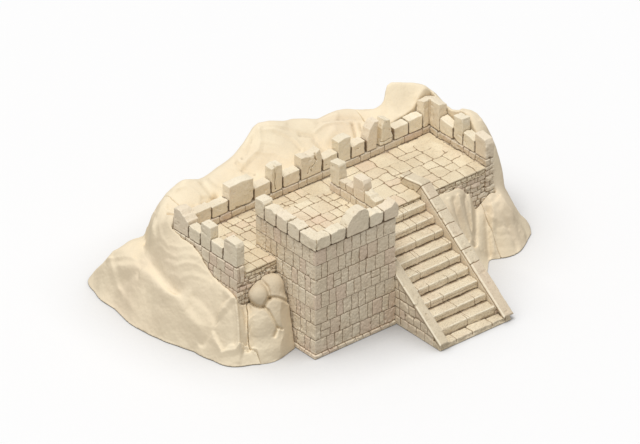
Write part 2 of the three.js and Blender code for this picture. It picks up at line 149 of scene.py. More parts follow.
def polygon_field(px, py, polygon):
    px, py = np.broadcast_arrays(px, py)
    dist = np.full(px.shape, 1e9, np.float32)
    inside = np.zeros(px.shape, bool)
    for (ax, ay), (bx, by) in zip(polygon, polygon[1:] + polygon[:1]):
        run_x, run_y = bx - ax, by - ay
        off_x, off_y = px - ax, py - ay
        part = np.clip((off_x * run_x + off_y * run_y) / (run_x * run_x + run_y * run_y), 0, 1)
        dist = np.minimum(dist, (off_x - run_x * part) ** 2 + (off_y - run_y * part) ** 2)
        if ay != by:
            inside ^= ((ay <= py) != (by <= py)) & (px < (bx - ax) * (py - ay) / (by - ay) + ax)
    dist = np.sqrt(dist)
    return np.where(inside, -dist, dist).astype(np.float32)


def extrude(flat, across, low, high, radius=0.0):
    """a 2-D field swept from low to high, its edges rounded"""
    first = flat + radius
    second = np.abs(across - (low + high) / 2) - (high - low) / 2 + radius
    outside = np.sqrt(np.maximum(first, 0) ** 2 + np.maximum(second, 0) ** 2)
    return (outside + np.minimum(np.maximum(first, second), 0) - radius).astype(np.float32)


def line_distance(x, y, points):
    """distance to an open polyline in the plane"""
    dist = np.full(np.shape(x), 1e9)
    for (ax, ay), (bx, by) in zip(points[:-1], points[1:]):
        run_x, run_y = bx - ax, by - ay
        part = ((x - ax) * run_x + (y - ay) * run_y) / (run_x * run_x + run_y * run_y + 1e-9)
        part = np.clip(part, 0, 1)
        dist = np.minimum(dist, np.hypot(x - ax - run_x * part, y - ay - run_y * part))
    return dist


def smooth_min(first, second, width):
    near = np.maximum(width - np.abs(first - second), 0) / width
    return np.minimum(first, second) - near * near * width * 0.25


# ------------------------------------------------------------ from field to mesh
def grid_lines(low, high, step, span=None):
    """lines from just below low to just above high; span is a stretch (start, end, wider step)"""
    step *= COARSENESS
    x, lines = low - 1.6, []
    while x < high + 1.6:
        lines.append(x)
        wide = step
        if span and span[0] <= x < span[1]:
            wide = max(step, min(span[2], span[1] - x + 1e-3))
        x += wide
    lines.append(x)
    return np.array(lines, np.float32)


def make_grid(box, steps, spans={}):
    """x, y and z grid lines round a box; spans gives an axis (0, 1, 2) its coarser stretch"""
    if np.isscalar(steps):
        steps = (steps,) * 3
    return [grid_lines(box[2 * i], box[2 * i + 1], steps[i], spans.get(i)) for i in range(3)]


def surface(field, xs, ys, zs):
    """vertices and quads where the sampled field crosses zero, one vertex per crossed cell"""
    inside = field < 0
    nx, ny, nz = (size - 1 for size in field.shape)
    count = np.zeros((nx, ny, nz), np.int8)
    for i, j, k in product((0, 1), repeat=3):
        count += inside[i:nx + i, j:ny + j, k:nz + k]
    active = (count > 0) & (count < 8)
    cells = np.argwhere(active)
    ids = np.full(active.shape, -1, np.int32)
    ids[active] = np.arange(len(cells))
    ci, cj, ck = cells.T
    total = np.zeros((len(cells), 3))
    crossings = np.zeros(len(cells))
    edges = []
    for i, j in product((0, 1), repeat=2):
        edges += [((0, i, j), (1, i, j)), ((i, 0, j), (i, 1, j)), ((i, j, 0), (i, j, 1))]
    for start, end in edges:
        at_start = field[ci + start[0], cj + start[1], ck + start[2]]
        at_end = field[ci + end[0], cj + end[1], ck + end[2]]
        crossed = (at_start < 0) != (at_end < 0)
        part = np.where(crossed, at_start / np.where(crossed, at_start - at_end, 1), 0)
        for i in range(3):
            total[:, i] += np.where(crossed, start[i] + part * (end[i] - start[i]), 0)
        crossings += crossed
    part = total / crossings[:, None]
    verts = np.stack([xs[ci] + part[:, 0] * (xs[ci + 1] - xs[ci]),
                      ys[cj] + part[:, 1] * (ys[cj + 1] - ys[cj]),
                      zs[ck] + part[:, 2] * (zs[ck + 1] - zs[ck])], 1)
    quads = []
    for axis in range(3):
        crossed = np.argwhere(np.diff(inside, axis=axis))
        leaving = inside[tuple(crossed.T)]
        corners = []
        for back_1, back_2 in ((1, 1), (0, 1), (0, 0), (1, 0)):
            cell = crossed.copy()
            cell[:, (axis + 1) % 3] -= back_1
            cell[:, (axis + 2) % 3] -= back_2
            corners.append(ids[tuple(cell.T)])
        corners = np.stack(corners, 1)
        corners[~leaving] = corners[~leaving][:, ::-1]
        quads.append(corners)
    return verts, np.concatenate(quads)


def bends(verts, quads):
    """signed bend at each vertex, hollow + and edge -, at a fine and a wide scale"""
    count = len(verts)
    links = np.stack([quads.ravel(), np.roll(quads, -1, axis=1).ravel()], 1)
    links.sort(axis=1)
    keys = np.unique(links[:, 0].astype(np.int64) * count + links[:, 1])
    first, second = keys // count, keys % count
    degree = np.bincount(np.concatenate([first, second]), minlength=count)
    degree = np.maximum(degree, 1).astype(float)
    diagonals = verts[quads[:, 2]] - verts[quads[:, 0]], verts[quads[:, 3]] - verts[quads[:, 1]]
    face_normals = np.cross(*diagonals)
    normals = np.zeros((count, 3))
    for i in range(3):
        for corner in range(4):
            normals[:, i] += np.bincount(quads[:, corner], face_normals[:, i], minlength=count)
    normals /= np.maximum(np.linalg.norm(normals, axis=1, keepdims=True), 1e-12)

    def mean(values):
        return (np.bincount(first, values[second], minlength=count)
                + np.bincount(second, values[first], minlength=count)) / degree

    result, smoothed = [], verts
    for sweep in range(1, 6):
        smoothed = np.stack([mean(smoothed[:, i]) for i in range(3)], 1)
        if sweep in (1, 5):
            shift = ((smoothed - verts) * normals).sum(1)
            result.append(0.5 * (shift + mean(shift)))
    return result


def flat_cap(verts, quads, axis, level):
    """replace the quads lying in a plane by one polygon, if they have a single outline"""
    flat = np.abs(verts[quads][:, :, axis] - level).max(1) < 2e-3
    if flat.sum() < 40:
        return quads, []
    part = quads[flat]
    sides = list(zip(part.ravel().tolist(), np.roll(part, -1, axis=1).ravel().tolist()))
    known = set(sides)
    following = {}
    for here, there in sides:
        if (there, here) not in known:
            if here in following:
                return quads, []
            following[here] = there
    start = next(iter(following))
    loop, current = [], start
    while True:
        loop.append(current)
        current = following.get(current)
        if current is None:
            return quads, []
        if current == start:
            break
    if len(loop) != len(following):
        return quads, []
    return quads[~flat], [loop]


MATERIALS = {}


def build(name, node, slot, field, grid, relief, band=3.0, caps=(), curv=(1.0, 0.5)):
    """Mesh one piece.

    field(x, y, z) is its distance field. relief(x, y, z) is the stonework within band of
    the surface: depth carved, shade (dark joints and painted shade +, painted highlight -) and
    tint.
    caps are its hidden flat sides (axis, level). curv scales the painted shade in the hollows and
    the painted highlight on the edges, found from the bends of the shape at a fine and a wide
    scale.
    """
    def carved(x, y, z):
        carve, shade, tint = relief(x, y, z)
        for axis, level in caps:
            carve = carve * ease(0.3, 2.2, np.abs((x, y, z)[axis] - level))
        return carve, shade, tint

    xs, ys, zs = grid
    values = field(xs[:, None, None], ys[None, :, None], zs[None, None, :])
    values = np.broadcast_to(values, (len(xs), len(ys), len(zs))).astype(np.float32)
    near = np.abs(values) < band
    i, j, k = np.nonzero(near)
    values[near] += carved(xs[i], ys[j], zs[k])[0].astype(np.float32)
    verts, quads = surface(values, xs, ys, zs)
    verts[:, 2] = np.maximum(verts[:, 2], 0)
    corners = verts[quads]
    volume = np.einsum("ij,ij->i", corners[:, 0], np.cross(corners[:, 1], corners[:, 2])).sum()
    if volume < 0:
        quads = quads[:, ::-1].copy()

    # painted shade in the hollows and painted highlight on the edges, from the bends at a fine and
    # a wide scale
    fine, wide = bends(verts, quads)
    scale = 1.0 / COARSENESS
    hollow = (np.clip(fine * 3.0 * curv[0] * scale, 0, 0.7)
              + np.clip(wide * 0.9 * curv[1] * scale, 0, 0.6))
    edge = (np.clip(-fine * 3.0 * curv[0] * scale, 0, 0.7)
            + np.clip(-wide * 0.7 * curv[1] * scale, 0, 0.5))
    _, shade, tint = carved(*verts.astype(np.float32).T)
    edge = np.maximum(edge, np.clip(-shade, 0, 1))
    hollow = np.maximum(hollow * (shade >= 0), shade)

    cap_loops = []
    for axis, level in caps:
        quads, found = flat_cap(verts, quads, axis, level)
        cap_loops += found
    loops = np.concatenate([quads.ravel()] + cap_loops)
    used = np.zeros(len(verts), bool)
    used[loops] = True
    loops = (np.cumsum(used) - 1)[loops].astype(np.int32)
    verts = verts[used]
    sizes = [4] * len(quads) + [len(loop) for loop in cap_loops]
    starts = np.cumsum([0] + sizes[:-1]).astype(np.int32)
    smooth = np.ones(len(starts), bool)
    smooth[len(quads):] = False

    mesh = bpy.data.meshes.new(name)
    mesh.vertices.add(len(verts))
    mesh.vertices.foreach_set("co", world(verts).astype(np.float32).ravel())
    mesh.loops.add(len(loops))
    mesh.loops.foreach_set("vertex_index", loops)
    mesh.polygons.add(len(starts))
    mesh.polygons.foreach_set("loop_start", starts)
    mesh.polygons.foreach_set("use_smooth", smooth)
    mesh.update(calc_edges=True)
    mesh.validate()
    # channels: dark joints with painted shade, painted highlight, stone tint
    wear = np.ones((len(verts), 4), np.float32)
    for channel, amount in enumerate((hollow, edge, tint)):
        wear[:, channel] = np.clip(amount[used], 0, 1)
    attribute = mesh.attributes.new("wear", "FLOAT_COLOR", "POINT")
    attribute.data.foreach_set("color", wear.ravel())
    piece = bpy.data.objects.new(name, mesh)
    bpy.context.scene.collection.objects.link(piece)
    mesh.materials.append(MATERIALS[slot])
    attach(piece, "root")
    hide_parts(node)


def build_box(name, node, slot, box, steps, relief, spans={}, caps=(), inset=0.0):
    build(name, node, slot, lambda x, y, z: box_field(x, y, z, box) + inset,
          make_grid(box, steps, spans), relief, caps=caps)


# ------------------------------------------------------------ stonework patterns
FACES = ("x0", "x1", "y0", "y1")


def joint_distance(first, second, radius):
    """distance to the nearer of two joints, rounded where they meet, at most radius"""
    corner = np.hypot(np.maximum(radius - first, 0), np.maximum(radius - second, 0))
    return np.maximum(radius - corner, 0)


def masonry(seed, box, levels, size=(9, 15), quoin=(8, 15), joint=0.62, depth=0.6, waver=0.4,
            offset=0.34, grain=0.2, chip=0.8, faces=("x0", "x1", "y0"), pillow=0.16, dark=0.7,
            top_line=None):
    """Relief of coursed blocks on faces of a box; the courses run on round the corners.

    levels are the bed heights, size the range of block lengths, quoin the two lengths that
    alternate at the corners. top_line is the height of a groove at the wall head, dark with
    painted shade under the parapet.
    """
    levels = np.array(levels, float)
    last = len(levels) - 2
    rng = np.random.default_rng(seed)
    joints, chances = {}, {}
    for face in FACES:
        low, high = box[2:4] if face[0] == "x" else box[:2]
        joints[face], chances[face] = [], []
        for course in range(last + 1):
            corner = quoin[(course + (face[0] == "x")) % 2]
            place = low + corner * rng.uniform(0.9, 1.1)
            ends = [low - 50, place]
            stop = high - corner * rng.uniform(0.9, 1.1)
            while True:
                length = rng.uniform(*size)
                if rng.random() < 0.22:
                    length *= 0.68
                place += length
                if place > stop - size[0] * 0.45:
                    break
                ends.append(place)
            ends += [stop, high + 50]
            joints[face].append(np.array(ends))
            chances[face].append(rng.random((len(ends), 4)))

    def relief(x, y, z):
        height = (z + waver * noise(x * 0.11, y * 0.11, z * 0.05, seed)
                  + 0.22 * rough(x, y, z, 0.45, seed + 1))
        shift = (waver * 0.8 * noise(x * 0.08, y * 0.08, z * 0.13, seed + 2)
                 + 0.22 * rough(x, y, z, 0.5, seed + 3))
        row = np.clip(np.searchsorted(levels, height, side="right") - 1, 0, last)
        to_bed = np.minimum(height - levels[row], levels[row + 1] - height)
        # no joint on the top arris or along the foot
        upper = levels[row + 1] - height < height - levels[row]
        to_bed = np.where((row == last) & upper, 9.0, to_bed)
        lower = height - levels[0] < levels[1] - height
        to_bed = np.where((row == 0) & lower, 9.0, to_bed)
        carve = np.zeros(x.shape)
        hollow = np.zeros(x.shape)
        tint = np.full(x.shape, 0.5)
        grit = (rough(x, y, z, 0.6, seed + 7, 2)
                + 0.5 * np.abs(noise(x * 0.8, y * 0.8, z * 0.25, seed + 12)))
        lump = rough(x, y, z, 0.13, seed + 8, 2)
        pit = rough(x, y, z, 0.33, seed + 9)
        for face in faces:
            across, along = (x, y) if face[0] == "x" else (y, x)
            weight = fade(2.2, 4.0, np.abs(across - box[FACES.index(face)]))
            near = weight > 0
            along = along + shift
            to_side = np.full(x.shape, 9.0)
            stand = np.zeros(x.shape)
            block_tint = np.full(x.shape, 0.5)
            bed = to_bed.copy()
            for course in range(last + 1):
                mask = near & (row == course)
                if not mask.any():
                    continue
                ends, chance = joints[face][course], chances[face][course]
                here, level = along[mask], height[mask]
                i = np.searchsorted(ends, here, side="right") - 1
                i = np.clip(i, 0, len(ends) - 2)
                start, end = ends[i], ends[i + 1]
                to_side[mask] = np.minimum(here - start, end - here)
                length = np.maximum(np.minimum(end - start, 20), 4)
                sideways = np.clip((here - (start + end) / 2) / length, -0.5, 0.5)
                tall = levels[course + 1] - levels[course]
                upward = (level - (levels[course] + levels[course + 1]) / 2) / max(tall, 3)
                stand[mask] = ((chance[i, 0] - 0.5) * offset
                               + sideways * (chance[i, 1] - 0.5) * offset * 1.5
                               + upward * (chance[i, 2] - 0.5) * offset * 1.3)
                block_tint[mask] = chance[i, 3]
                if tall > 11:           # a few places hold two flat stones
                    split = levels[course] + tall * (0.38 + 0.24 * chance[i, 0])
                    bed[mask] = np.where(chance[i, 2] > 0.955,
                                         np.minimum(bed[mask], np.abs(level - split)), bed[mask])
            nearest = np.minimum(to_side, bed)
            groove = fade(joint * 0.25, joint, joint_distance(to_side, bed, 1.0))
            chipped = np.maximum(pit - 0.35, 0) * 2.4 * chip * fade(1.0, 3.5, nearest)
            carve += weight * (depth * groove + pillow * fade(0, 1.8, nearest) + stand + chipped)
            hollow = np.maximum(hollow, weight * np.clip(groove * dark + chipped * 0.15, 0, 1))
            tint = np.where(weight > 0.5, block_tint, tint)
        carve += grain * grit + 0.22 * lump + np.maximum(pit - 0.6, 0) * 0.8
        if "x0" in faces and "y0" in faces:     # painted highlight along the front left arris, whose relief is halved
            arris = fade(0.5, 1.5, np.hypot(x - box[0], y - box[2]))
            worn = np.minimum(hollow * 0.6, -0.85 * arris * (hollow < 0.3))
            hollow = np.where(arris > 0.05, worn, hollow)
            carve *= 1 - 0.5 * arris
        if top_line is not None:                # groove with painted shade under the parapet
            line = fade(0.3, 1.5, top_line - z + 0.35 * rough(x, y, 0, 0.2, seed + 20))
            outer = np.minimum(np.abs(x - box[0]), np.abs(y - box[2])) < 2.5
            hollow = np.where(outer, np.maximum(hollow, line), hollow)
            carve += 0.6 * line * outer
        return carve, hollow, tint
    return relief


def flagging(seed, box, size=(9, 24), open_front=False, warp=0.9):
    """Relief of irregular rectangular flagstones on a slab; an open front edge is worn."""
    joint, depth, cell = 0.66, 0.6, 0.5
    bottom = box[4]
    rng = np.random.default_rng(seed)
    flags = []

    def split(x0, x1, y0, y1):
        width, length = x1 - x0, y1 - y0
        big = max(width, length)
        if big < size[1] and (big < size[0] * 1.9 or rng.random() < 0.35
                              or min(width, length) < size[0] * 0.8 and big < size[1] * 0.8):
            flags.append((x0, x1, y0, y1))
            return
        part = rng.uniform(0.36, 0.64)
        if width * rng.uniform(0.75, 1.3) > length:
            middle = x0 + width * part
            split(x0, middle, y0, y1)
            split(middle, x1, y0, y1)
        else:
            middle = y0 + length * part
            split(x0, x1, y0, middle)
            split(x0, x1, middle, y1)

    split(box[0] - 3, box[1] + 3, box[2] - 3, box[3] + 3)
    chances = rng.random((len(flags), 4))
    grid_x = np.arange(box[0] - 6, box[1] + 6, cell)
    grid_y = np.arange(box[2] - 6, box[3] + 6, cell)
    ids = np.zeros((len(grid_x), len(grid_y)), int)
    for n, (x0, x1, y0, y1) in enumerate(flags):
        ids[np.ix_((grid_x >= x0) & (grid_x < x1), (grid_y >= y0) & (grid_y < y1))] = n
    flags = np.array(flags)

    def relief(x, y, z):
        at_x = (x + warp * rough(x, y, 0, 0.1, seed) + 0.3 * rough(x, y, 0, 0.42, seed + 1))
        at_y = (y + warp * noise(x * 0.1, y * 0.1, 5.5, seed + 2)
                + 0.3 * noise(x * 0.42, y * 0.42, 3.5, seed + 3))
        i = np.clip(((at_x - grid_x[0]) / cell).astype(int), 0, ids.shape[0] - 1)
        j = np.clip(((at_y - grid_y[0]) / cell).astype(int), 0, ids.shape[1] - 1)
        x0, x1, y0, y1 = flags[ids[i, j]].T
        chance = chances[ids[i, j]]
        to_x = np.minimum(at_x - x0, x1 - at_x)
        to_y = np.minimum(at_y - y0, y1 - at_y)
        nearest = np.minimum(to_x, to_y)
        groove = fade(joint * 0.2, joint, joint_distance(to_x, to_y, 2.0))
        tilt = ((at_x - (x0 + x1) / 2) * (chance[:, 1] - 0.5) * 0.035
                + (at_y - (y0 + y1) / 2) * (chance[:, 2] - 0.5) * 0.035)
        above = ease(bottom + 0.6, bottom + 2.5, z)
        chip = np.maximum(rough(x, y, z, 0.3, seed + 5) - 0.35, 0) * 1.6 * fade(0.5, 3.0, nearest)
        carve = above * (depth * groove + 0.3 * fade(0, 2.6, nearest)
                         + (chance[:, 0] - 0.4) * 0.55 + tilt + chip)
        if open_front:
            ragged = np.maximum(noise(x * 0.2, y * 0.2, z * 0.35, seed + 6), -0.2)
            carve += above * fade(0.5, 4.0, y - box[2]) * (0.35 + 0.9 * ragged)
        carve += above * (0.14 * rough(x, y, z, 0.6, seed + 7, 2)
                          + 0.25 * rough(x, y, z, 0.16, seed + 8))
        return carve, np.clip(groove * above * 0.7, 0, 1), chance[:, 3]
    return relief


def plain(seed, bed, lump=0.35, lump_frequency=0.16, grain=0.16, ends=None, plane="x", upto=0.0,
          free=""):
    """Relief of a single stone with painted shade in a line at the height of its bed.

    ends are its two ends along the wall, with painted shade at them up to the height upto;
    free names the ends ("lo", "hi") that stay free of it.
    """
    tone = np.random.default_rng(seed).random()

    def relief(x, y, z):
        carve = grain * rough(x, y, z, 0.55, seed, 2)
        carve = carve + lump * rough(x, y, z, lump_frequency, seed + 3, 2)
        carve = carve + np.maximum(rough(x, y, z, 0.3, seed + 9) - 0.5, 0) * 1.5
        # painted shade along the foot, where the stone sits on its bed
        hollow = np.maximum(np.zeros(x.shape), 0.95 * fade(0.5, 1.5, z - bed))
        if ends is not None:
            along = y if plane == "x" else x
            to_end = np.minimum(along - ends[0] + (9 if "lo" in free else 0),
                                ends[1] - along + (9 if "hi" in free else 0))
            # painted shade at the ends, where the stone meets its neighbours
            joint = 0.8 * fade(0.45, 1.15, to_end) * fade(upto - 1.5, upto, z)
            hollow = np.maximum(hollow, joint)
        return carve, hollow, np.full(x.shape, tone)
    return relief


def rounded(polygon, radii):
    """outline with each corner eased by its own radius"""
    points = []
    count = len(polygon)
    for i in range(count):
        before, corner, after = (np.array(polygon[(i + k) % count], float) for k in (-1, 0, 1))
        length_1, length_2 = np.linalg.norm(before - corner), np.linalg.norm(after - corner)
        radius_1, radius_2 = min(radii[i], length_1 * 0.45), min(radii[i], length_2 * 0.45)
        start = corner + (before - corner) / length_1 * radius_1
        end = corner + (after - corner) / length_2 * radius_2
        for t in (0, 0.25, 0.5, 0.75, 1):
            points.append(tuple((1 - t) ** 2 * start + 2 * t * (1 - t) * corner + t * t * end))
    return points


def stone(name, node, plane, outline, across, seed, radius=0.55, foot=0.0, chips=4, ragged=0.5,
          top=0.0, step=0.45, cuts=(), upto=107.0, free=""):
    """A squared parapet block with worn corners, chips and cuts.

    outline is in (y, z) for plane "x" and (x, z) for plane "y", swept over across. foot
    rounds the lower corners, top roughens the upper edge, ragged makes the sides uneven.
    """
    shrink = 0.3
    rng = np.random.default_rng(seed)
    start, end = min(p[0] for p in outline), max(p[0] for p in outline)
    bottom, peak = min(p[1] for p in outline), max(p[1] for p in outline)
    upper = bottom + 0.55 * (peak - bottom)
    points, radii = [], []
    for here, there in zip(outline, outline[1:] + outline[:1]):
        points.append(here)
        radii.append(foot if (here[1] < bottom + 0.5 and foot) else 0.6)
        if top and here[1] > upper and there[1] > upper:    # broken upper edge
            run, rise = there[0] - here[0], there[1] - here[1]
            count = int(math.hypot(run, rise) // 3.2)
            for j in range(1, count):
                t = (j + rng.uniform(-0.3, 0.3)) / count
                drop = abs(rng.normal(0, top * 0.85))
                points.append((here[0] + run * t, here[1] + rise * t - drop))
                radii.append(0.25)
    points = rounded(points, radii)
    along_lines = grid_lines(start, end, step)
    across_lines = grid_lines(*across, step)
    planes = []
    for _ in range(chips):
        corner = np.array([rng.choice([start, end]), rng.choice(across),
                           rng.choice([peak, peak, bottom])])
        normal = np.array([np.sign(corner[0] - (start + end) / 2),
                           np.sign(corner[1] - (across[0] + across[1]) / 2),
                           np.sign(corner[2] - (bottom + peak) / 2)])
        normal = normal * rng.uniform(0.15, 1.0, 3)
        normal /= np.linalg.norm(normal)
        planes.append((corner, normal, rng.uniform(0.6, 1.9)))

    def field(x, y, z):
        along, through = (y, x) if plane == "x" else (x, y)
        wavy = along + ragged * 0.5 * noise(along * 0.14, z * 0.14, 0.0, seed + 1)
        rise = ease(bottom + 0.4 * (peak - bottom), peak, z)
        wavy_z = z + ragged * noise(along * 0.16, 0.0, 0.0, seed + 2) * rise
        flat = polygon_field(wavy, wavy_z, points) + shrink
        if top:
            flat = flat + top * rise * (
                noise(along * 0.42, through * 0.3, 0.0, seed + 4) * 0.35
                + np.abs(noise(along * 0.55, through * 0.5, 0.0, seed + 6)) * 0.6)
        body = extrude(flat, through, across[0] + shrink, across[1] - shrink, radius)
        for corner, normal, depth in planes:
            chip = ((along - corner[0]) * normal[0] + (through - corner[1]) * normal[1]
                    + (z - corner[2]) * normal[2] + depth)
            body = np.maximum(body, chip.astype(np.float32))
        for cut in cuts:
            body = np.maximum(body, -cut(x, y, z).astype(np.float32))
        return body

    lines = (across_lines, along_lines) if plane == "x" else (along_lines, across_lines)
    relief = plain(seed, bottom, lump=0.2, ends=(start, end), plane=plane, upto=upto, free=free)
    build(name, node, "parapet_stone", field, (*lines, grid_lines(bottom, peak, step)), relief,
          band=2.5, curv=(1.5, 0.9))


def stone_row(rows, plane, across, seed, level, suffix="block", **shared):
    """stones from rows of (node, foot start, foot end, rest of the outline, foot, top, extras)"""
    for n, (node, start, end, rest, foot, top, extras) in enumerate(rows):
        stone(f"{node}_{suffix}", node, plane, [(start, level), (end, level)] + rest, across,
              seed + n, foot=foot, top=top, **shared, **extras)


def crack(points, width, depth):
    """an open crack in the front of the back parapet, along a line in (x, z)"""
    def cut(x, y, z):
        along, height = np.broadcast_arrays(x, z)
        return np.maximum(line_distance(along, height, points) - width,
                          np.abs(y - MERLON_FRONT) - depth)
    return cut


def hole(cx, cy, cz, radius):
    return lambda x, y, z: np.sqrt((x - cx) ** 2 + (y - cy) ** 2 + (z - cz) ** 2) - radius


# ------------------------------------------------------------ materials
def linear(rgb):
    """sRGB 0-255 to a linear colour"""
    shares = (c / 255 for c in rgb)
    return tuple((c / 12.92 if c <= 0.04045 else ((c + 0.055) / 1.055) ** 2.4)
                 for c in shares) + (1.0,)


# dark of the joints and specks, also the tone of the painted shade in hollows
DARK = (126, 98, 70)
# colour of the painted highlight on edges
PAINTED_HIGHLIGHT = (255, 246, 224)
FINE = 950.0        # noise scale of the finest grain


def make_material(name, light, mid, warm, patch, bump, warm_amount, joint, speckle, dark=DARK,
                  sides=None, bright=0.75):
    """Stone tinted in patches, dark in its joints and specks, with painted shade in its hollows
    and on its steep faces and a painted highlight on its edges.

    patch is the noise scale of the patches; joint, speckle and bright are the strengths of
    the dark joints with the painted shade in hollows, the dark specks and the painted highlight
    on edges; sides is the tone of the painted shade on steep faces.
    """
    material = bpy.data.materials.new(name)
    material.use_nodes = True
    nodes, link = material.node_tree.nodes, material.node_tree.links.new
    nodes.clear()

    def add(kind, values={}):
        node = nodes.new(kind)
        for socket, value in values.items():
            node.inputs[socket].default_value = value
        return node

    output = add("ShaderNodeOutputMaterial")
    shader = add("ShaderNodeBsdfPrincipled", {"Specular IOR Level": 0.22})
    link(shader.outputs[0], output.inputs[0])
    coords = add("ShaderNodeTexCoord")

    def texture(scale, detail, roughness=0.55, distortion=0.0):
        node = add("ShaderNodeTexNoise", {"Scale": scale, "Detail": detail,
                                          "Roughness": roughness, "Distortion": distortion})
        link(coords.outputs["Object"], node.inputs["Vector"])
        return node.outputs["Fac"]

    def ramp(factor, low, high):
        node = add("ShaderNodeMapRange", {"From Min": low, "From Max": high})
        node.interpolation_type = "SMOOTHSTEP"
        link(factor, node.inputs["Value"])
        return node.outputs[0]

    def mix(factor, first, second, strength=1.0):
        node = add("ShaderNodeMix")
        node.data_type = "RGBA"
        scaled = add("ShaderNodeMath", {1: strength})
        scaled.operation = "MULTIPLY"
        scaled.use_clamp = True
        link(factor, scaled.inputs[0])
        link(scaled.outputs[0], node.inputs[0])
        for socket, value in ((node.inputs[6], first), (node.inputs[7], second)):
            if isinstance(value, tuple):
                socket.default_value = linear(value)
            else:
                link(value, socket)
        return node.outputs[2]

    attribute = add("ShaderNodeAttribute")
    attribute.attribute_name = "wear"
    wear = add("ShaderNodeSeparateColor")
    link(attribute.outputs["Color"], wear.inputs[0])
    # hollow holds the dark joints and the painted shade, edge the painted highlight, tint the
    # stone tone
    hollow, edge, tint = wear.outputs
    colour = mix(ramp(texture(patch, 3, 0.5, 0.4), 0.32, 0.68), light, mid)
    colour = mix(ramp(tint, 0.0, 1.0), colour, mid, strength=0.55)
    warm_patch = ramp(texture(patch * 0.6, 2, 0.5, 0.8), 0.52, 0.72)
    colour = mix(warm_patch, colour, warm, strength=warm_amount)
    colour = mix(ramp(tint, 0.72, 0.98), colour, warm, strength=warm_amount * 1.3)
    colour = mix(ramp(texture(FINE, 4, 0.7), 0.46, 0.66), colour, dark, strength=speckle)
    # painted shade: steep faces darker than the faces turned up to the light
    if sides is not None:
        geometry = add("ShaderNodeNewGeometry")
        normal = add("ShaderNodeSeparateXYZ")
        link(geometry.outputs["Normal"], normal.inputs[0])
        colour = mix(ramp(normal.outputs[2], 0.6, 0.14), colour, sides, strength=0.5)
    # dark joints, and painted shade in hollows and creases
    colour = mix(ramp(hollow, 0.04, 0.75), colour, dark, strength=joint)
    # painted highlight on edges
    colour = mix(ramp(edge, 0.08, 0.8), colour, PAINTED_HIGHLIGHT, strength=bright)
    link(colour, shader.inputs["Base Color"])
    roughness = add("ShaderNodeMapRange", {"To Min": 0.72, "To Max": 0.88})
    link(texture(FINE * 0.5, 2), roughness.inputs["Value"])
    link(roughness.outputs[0], shader.inputs["Roughness"])
    target = None
    # bump strength and depth (m), then noise scale, detail and roughness
    for strength, depth, grain in ((bump, 0.0003, (FINE, 5, 0.65)),
                                   (bump * 0.8, 0.0006, (FINE * 0.28, 3, 0.6))):
        node = add("ShaderNodeBump", {"Strength": strength, "Distance": depth})
        link(texture(*grain), node.inputs["Height"])
        if target:
            link(target.outputs[0], node.inputs["Normal"])
        target = node
    link(target.outputs[0], shader.inputs["Normal"])
    MATERIALS[name] = material


# rock: painted shade in its creases and on its steep faces, painted highlight on its edges
make_material("rock", (251, 237, 209), (243, 227, 199), (242, 220, 196), dark=(146, 128, 106),
              patch=22, bump=0.14, warm_amount=0.2, joint=0.5, speckle=0.06,
              sides=(216, 200, 173), bright=0.4)
make_material("wall_masonry", (246, 234, 211), (232, 217, 192), (235, 209, 190),
              patch=60, bump=0.6, warm_amount=0.35, joint=0.78, speckle=0.2)
make_material("parapet_stone", (250, 239, 216), (238, 226, 201), (240, 217, 196),
              patch=45, bump=0.4, warm_amount=0.2, joint=0.8, speckle=0.12)
make_material("flagstone", (248, 235, 206), (228, 212, 182), (238, 210, 187),
              patch=50, bump=0.45, warm_amount=0.28, joint=0.85, speckle=0.22)
make_material("step_stone", (244, 231, 204), (229, 214, 186), (238, 215, 192),
              patch=55, bump=0.8, warm_amount=0.18, joint=0.8, speckle=0.38)
make_material("coping_stone", (232, 219, 194), (217, 203, 177), (228, 206, 184),
              patch=40, bump=0.4, warm_amount=0.22, joint=0.85, speckle=0.2)

# ------------------------------------------------------------ tower
tower_relief = masonry(21, (0, 100, 0, TOWER_BACK),
                       [0, 4.2, 19.5, 36.8, TOWER_SPLIT, 70.4, 87, TOWER_BODY_TOP, 121],
                       size=(8, 14), quoin=(8, 14), joint=0.66, depth=0.7, grain=0.34,
                       offset=0.26, pillow=0.1, top_line=TOWER_WALL_TOP)


def tower_walls(x, y, z):
    """the body with a low plinth round its front"""
    return np.minimum(box_field(x, y, z, (0, 100, 0, TOWER_BACK, 0, TOWER_BODY_TOP)),
                      box_field(x, y, z, (-1.5, 100, -1.5, 50, 0, 4)))


def tower_rim(x, y, z):
    """front, left and lower right walls round the floor"""
    rim = box_field(x, y, z, (0, 100, 0, 11, TOWER_BODY_TOP, TOWER_WALL_TOP))
    left = (0, 11, 0, TOWER_BACK, TOWER_BODY_TOP, TOWER_WALL_TOP)
    right = (92, 100, 0, TOWER_BACK, TOWER_BODY_TOP, TOWER_FLOOR_TOP)
    return np.minimum(np.minimum(rim, box_field(x, y, z, left)), box_field(x, y, z, right))


def right_course(x, y, z):
    return np.minimum(box_field(x, y, z, (92, 101.5, 11.4, TOWER_BACK, 112.4, TOWER_WALL_TOP)),
                      box_field(x, y, z, (92, 101.5, 54.6, 74.4, 118, 130)) + 0.2)


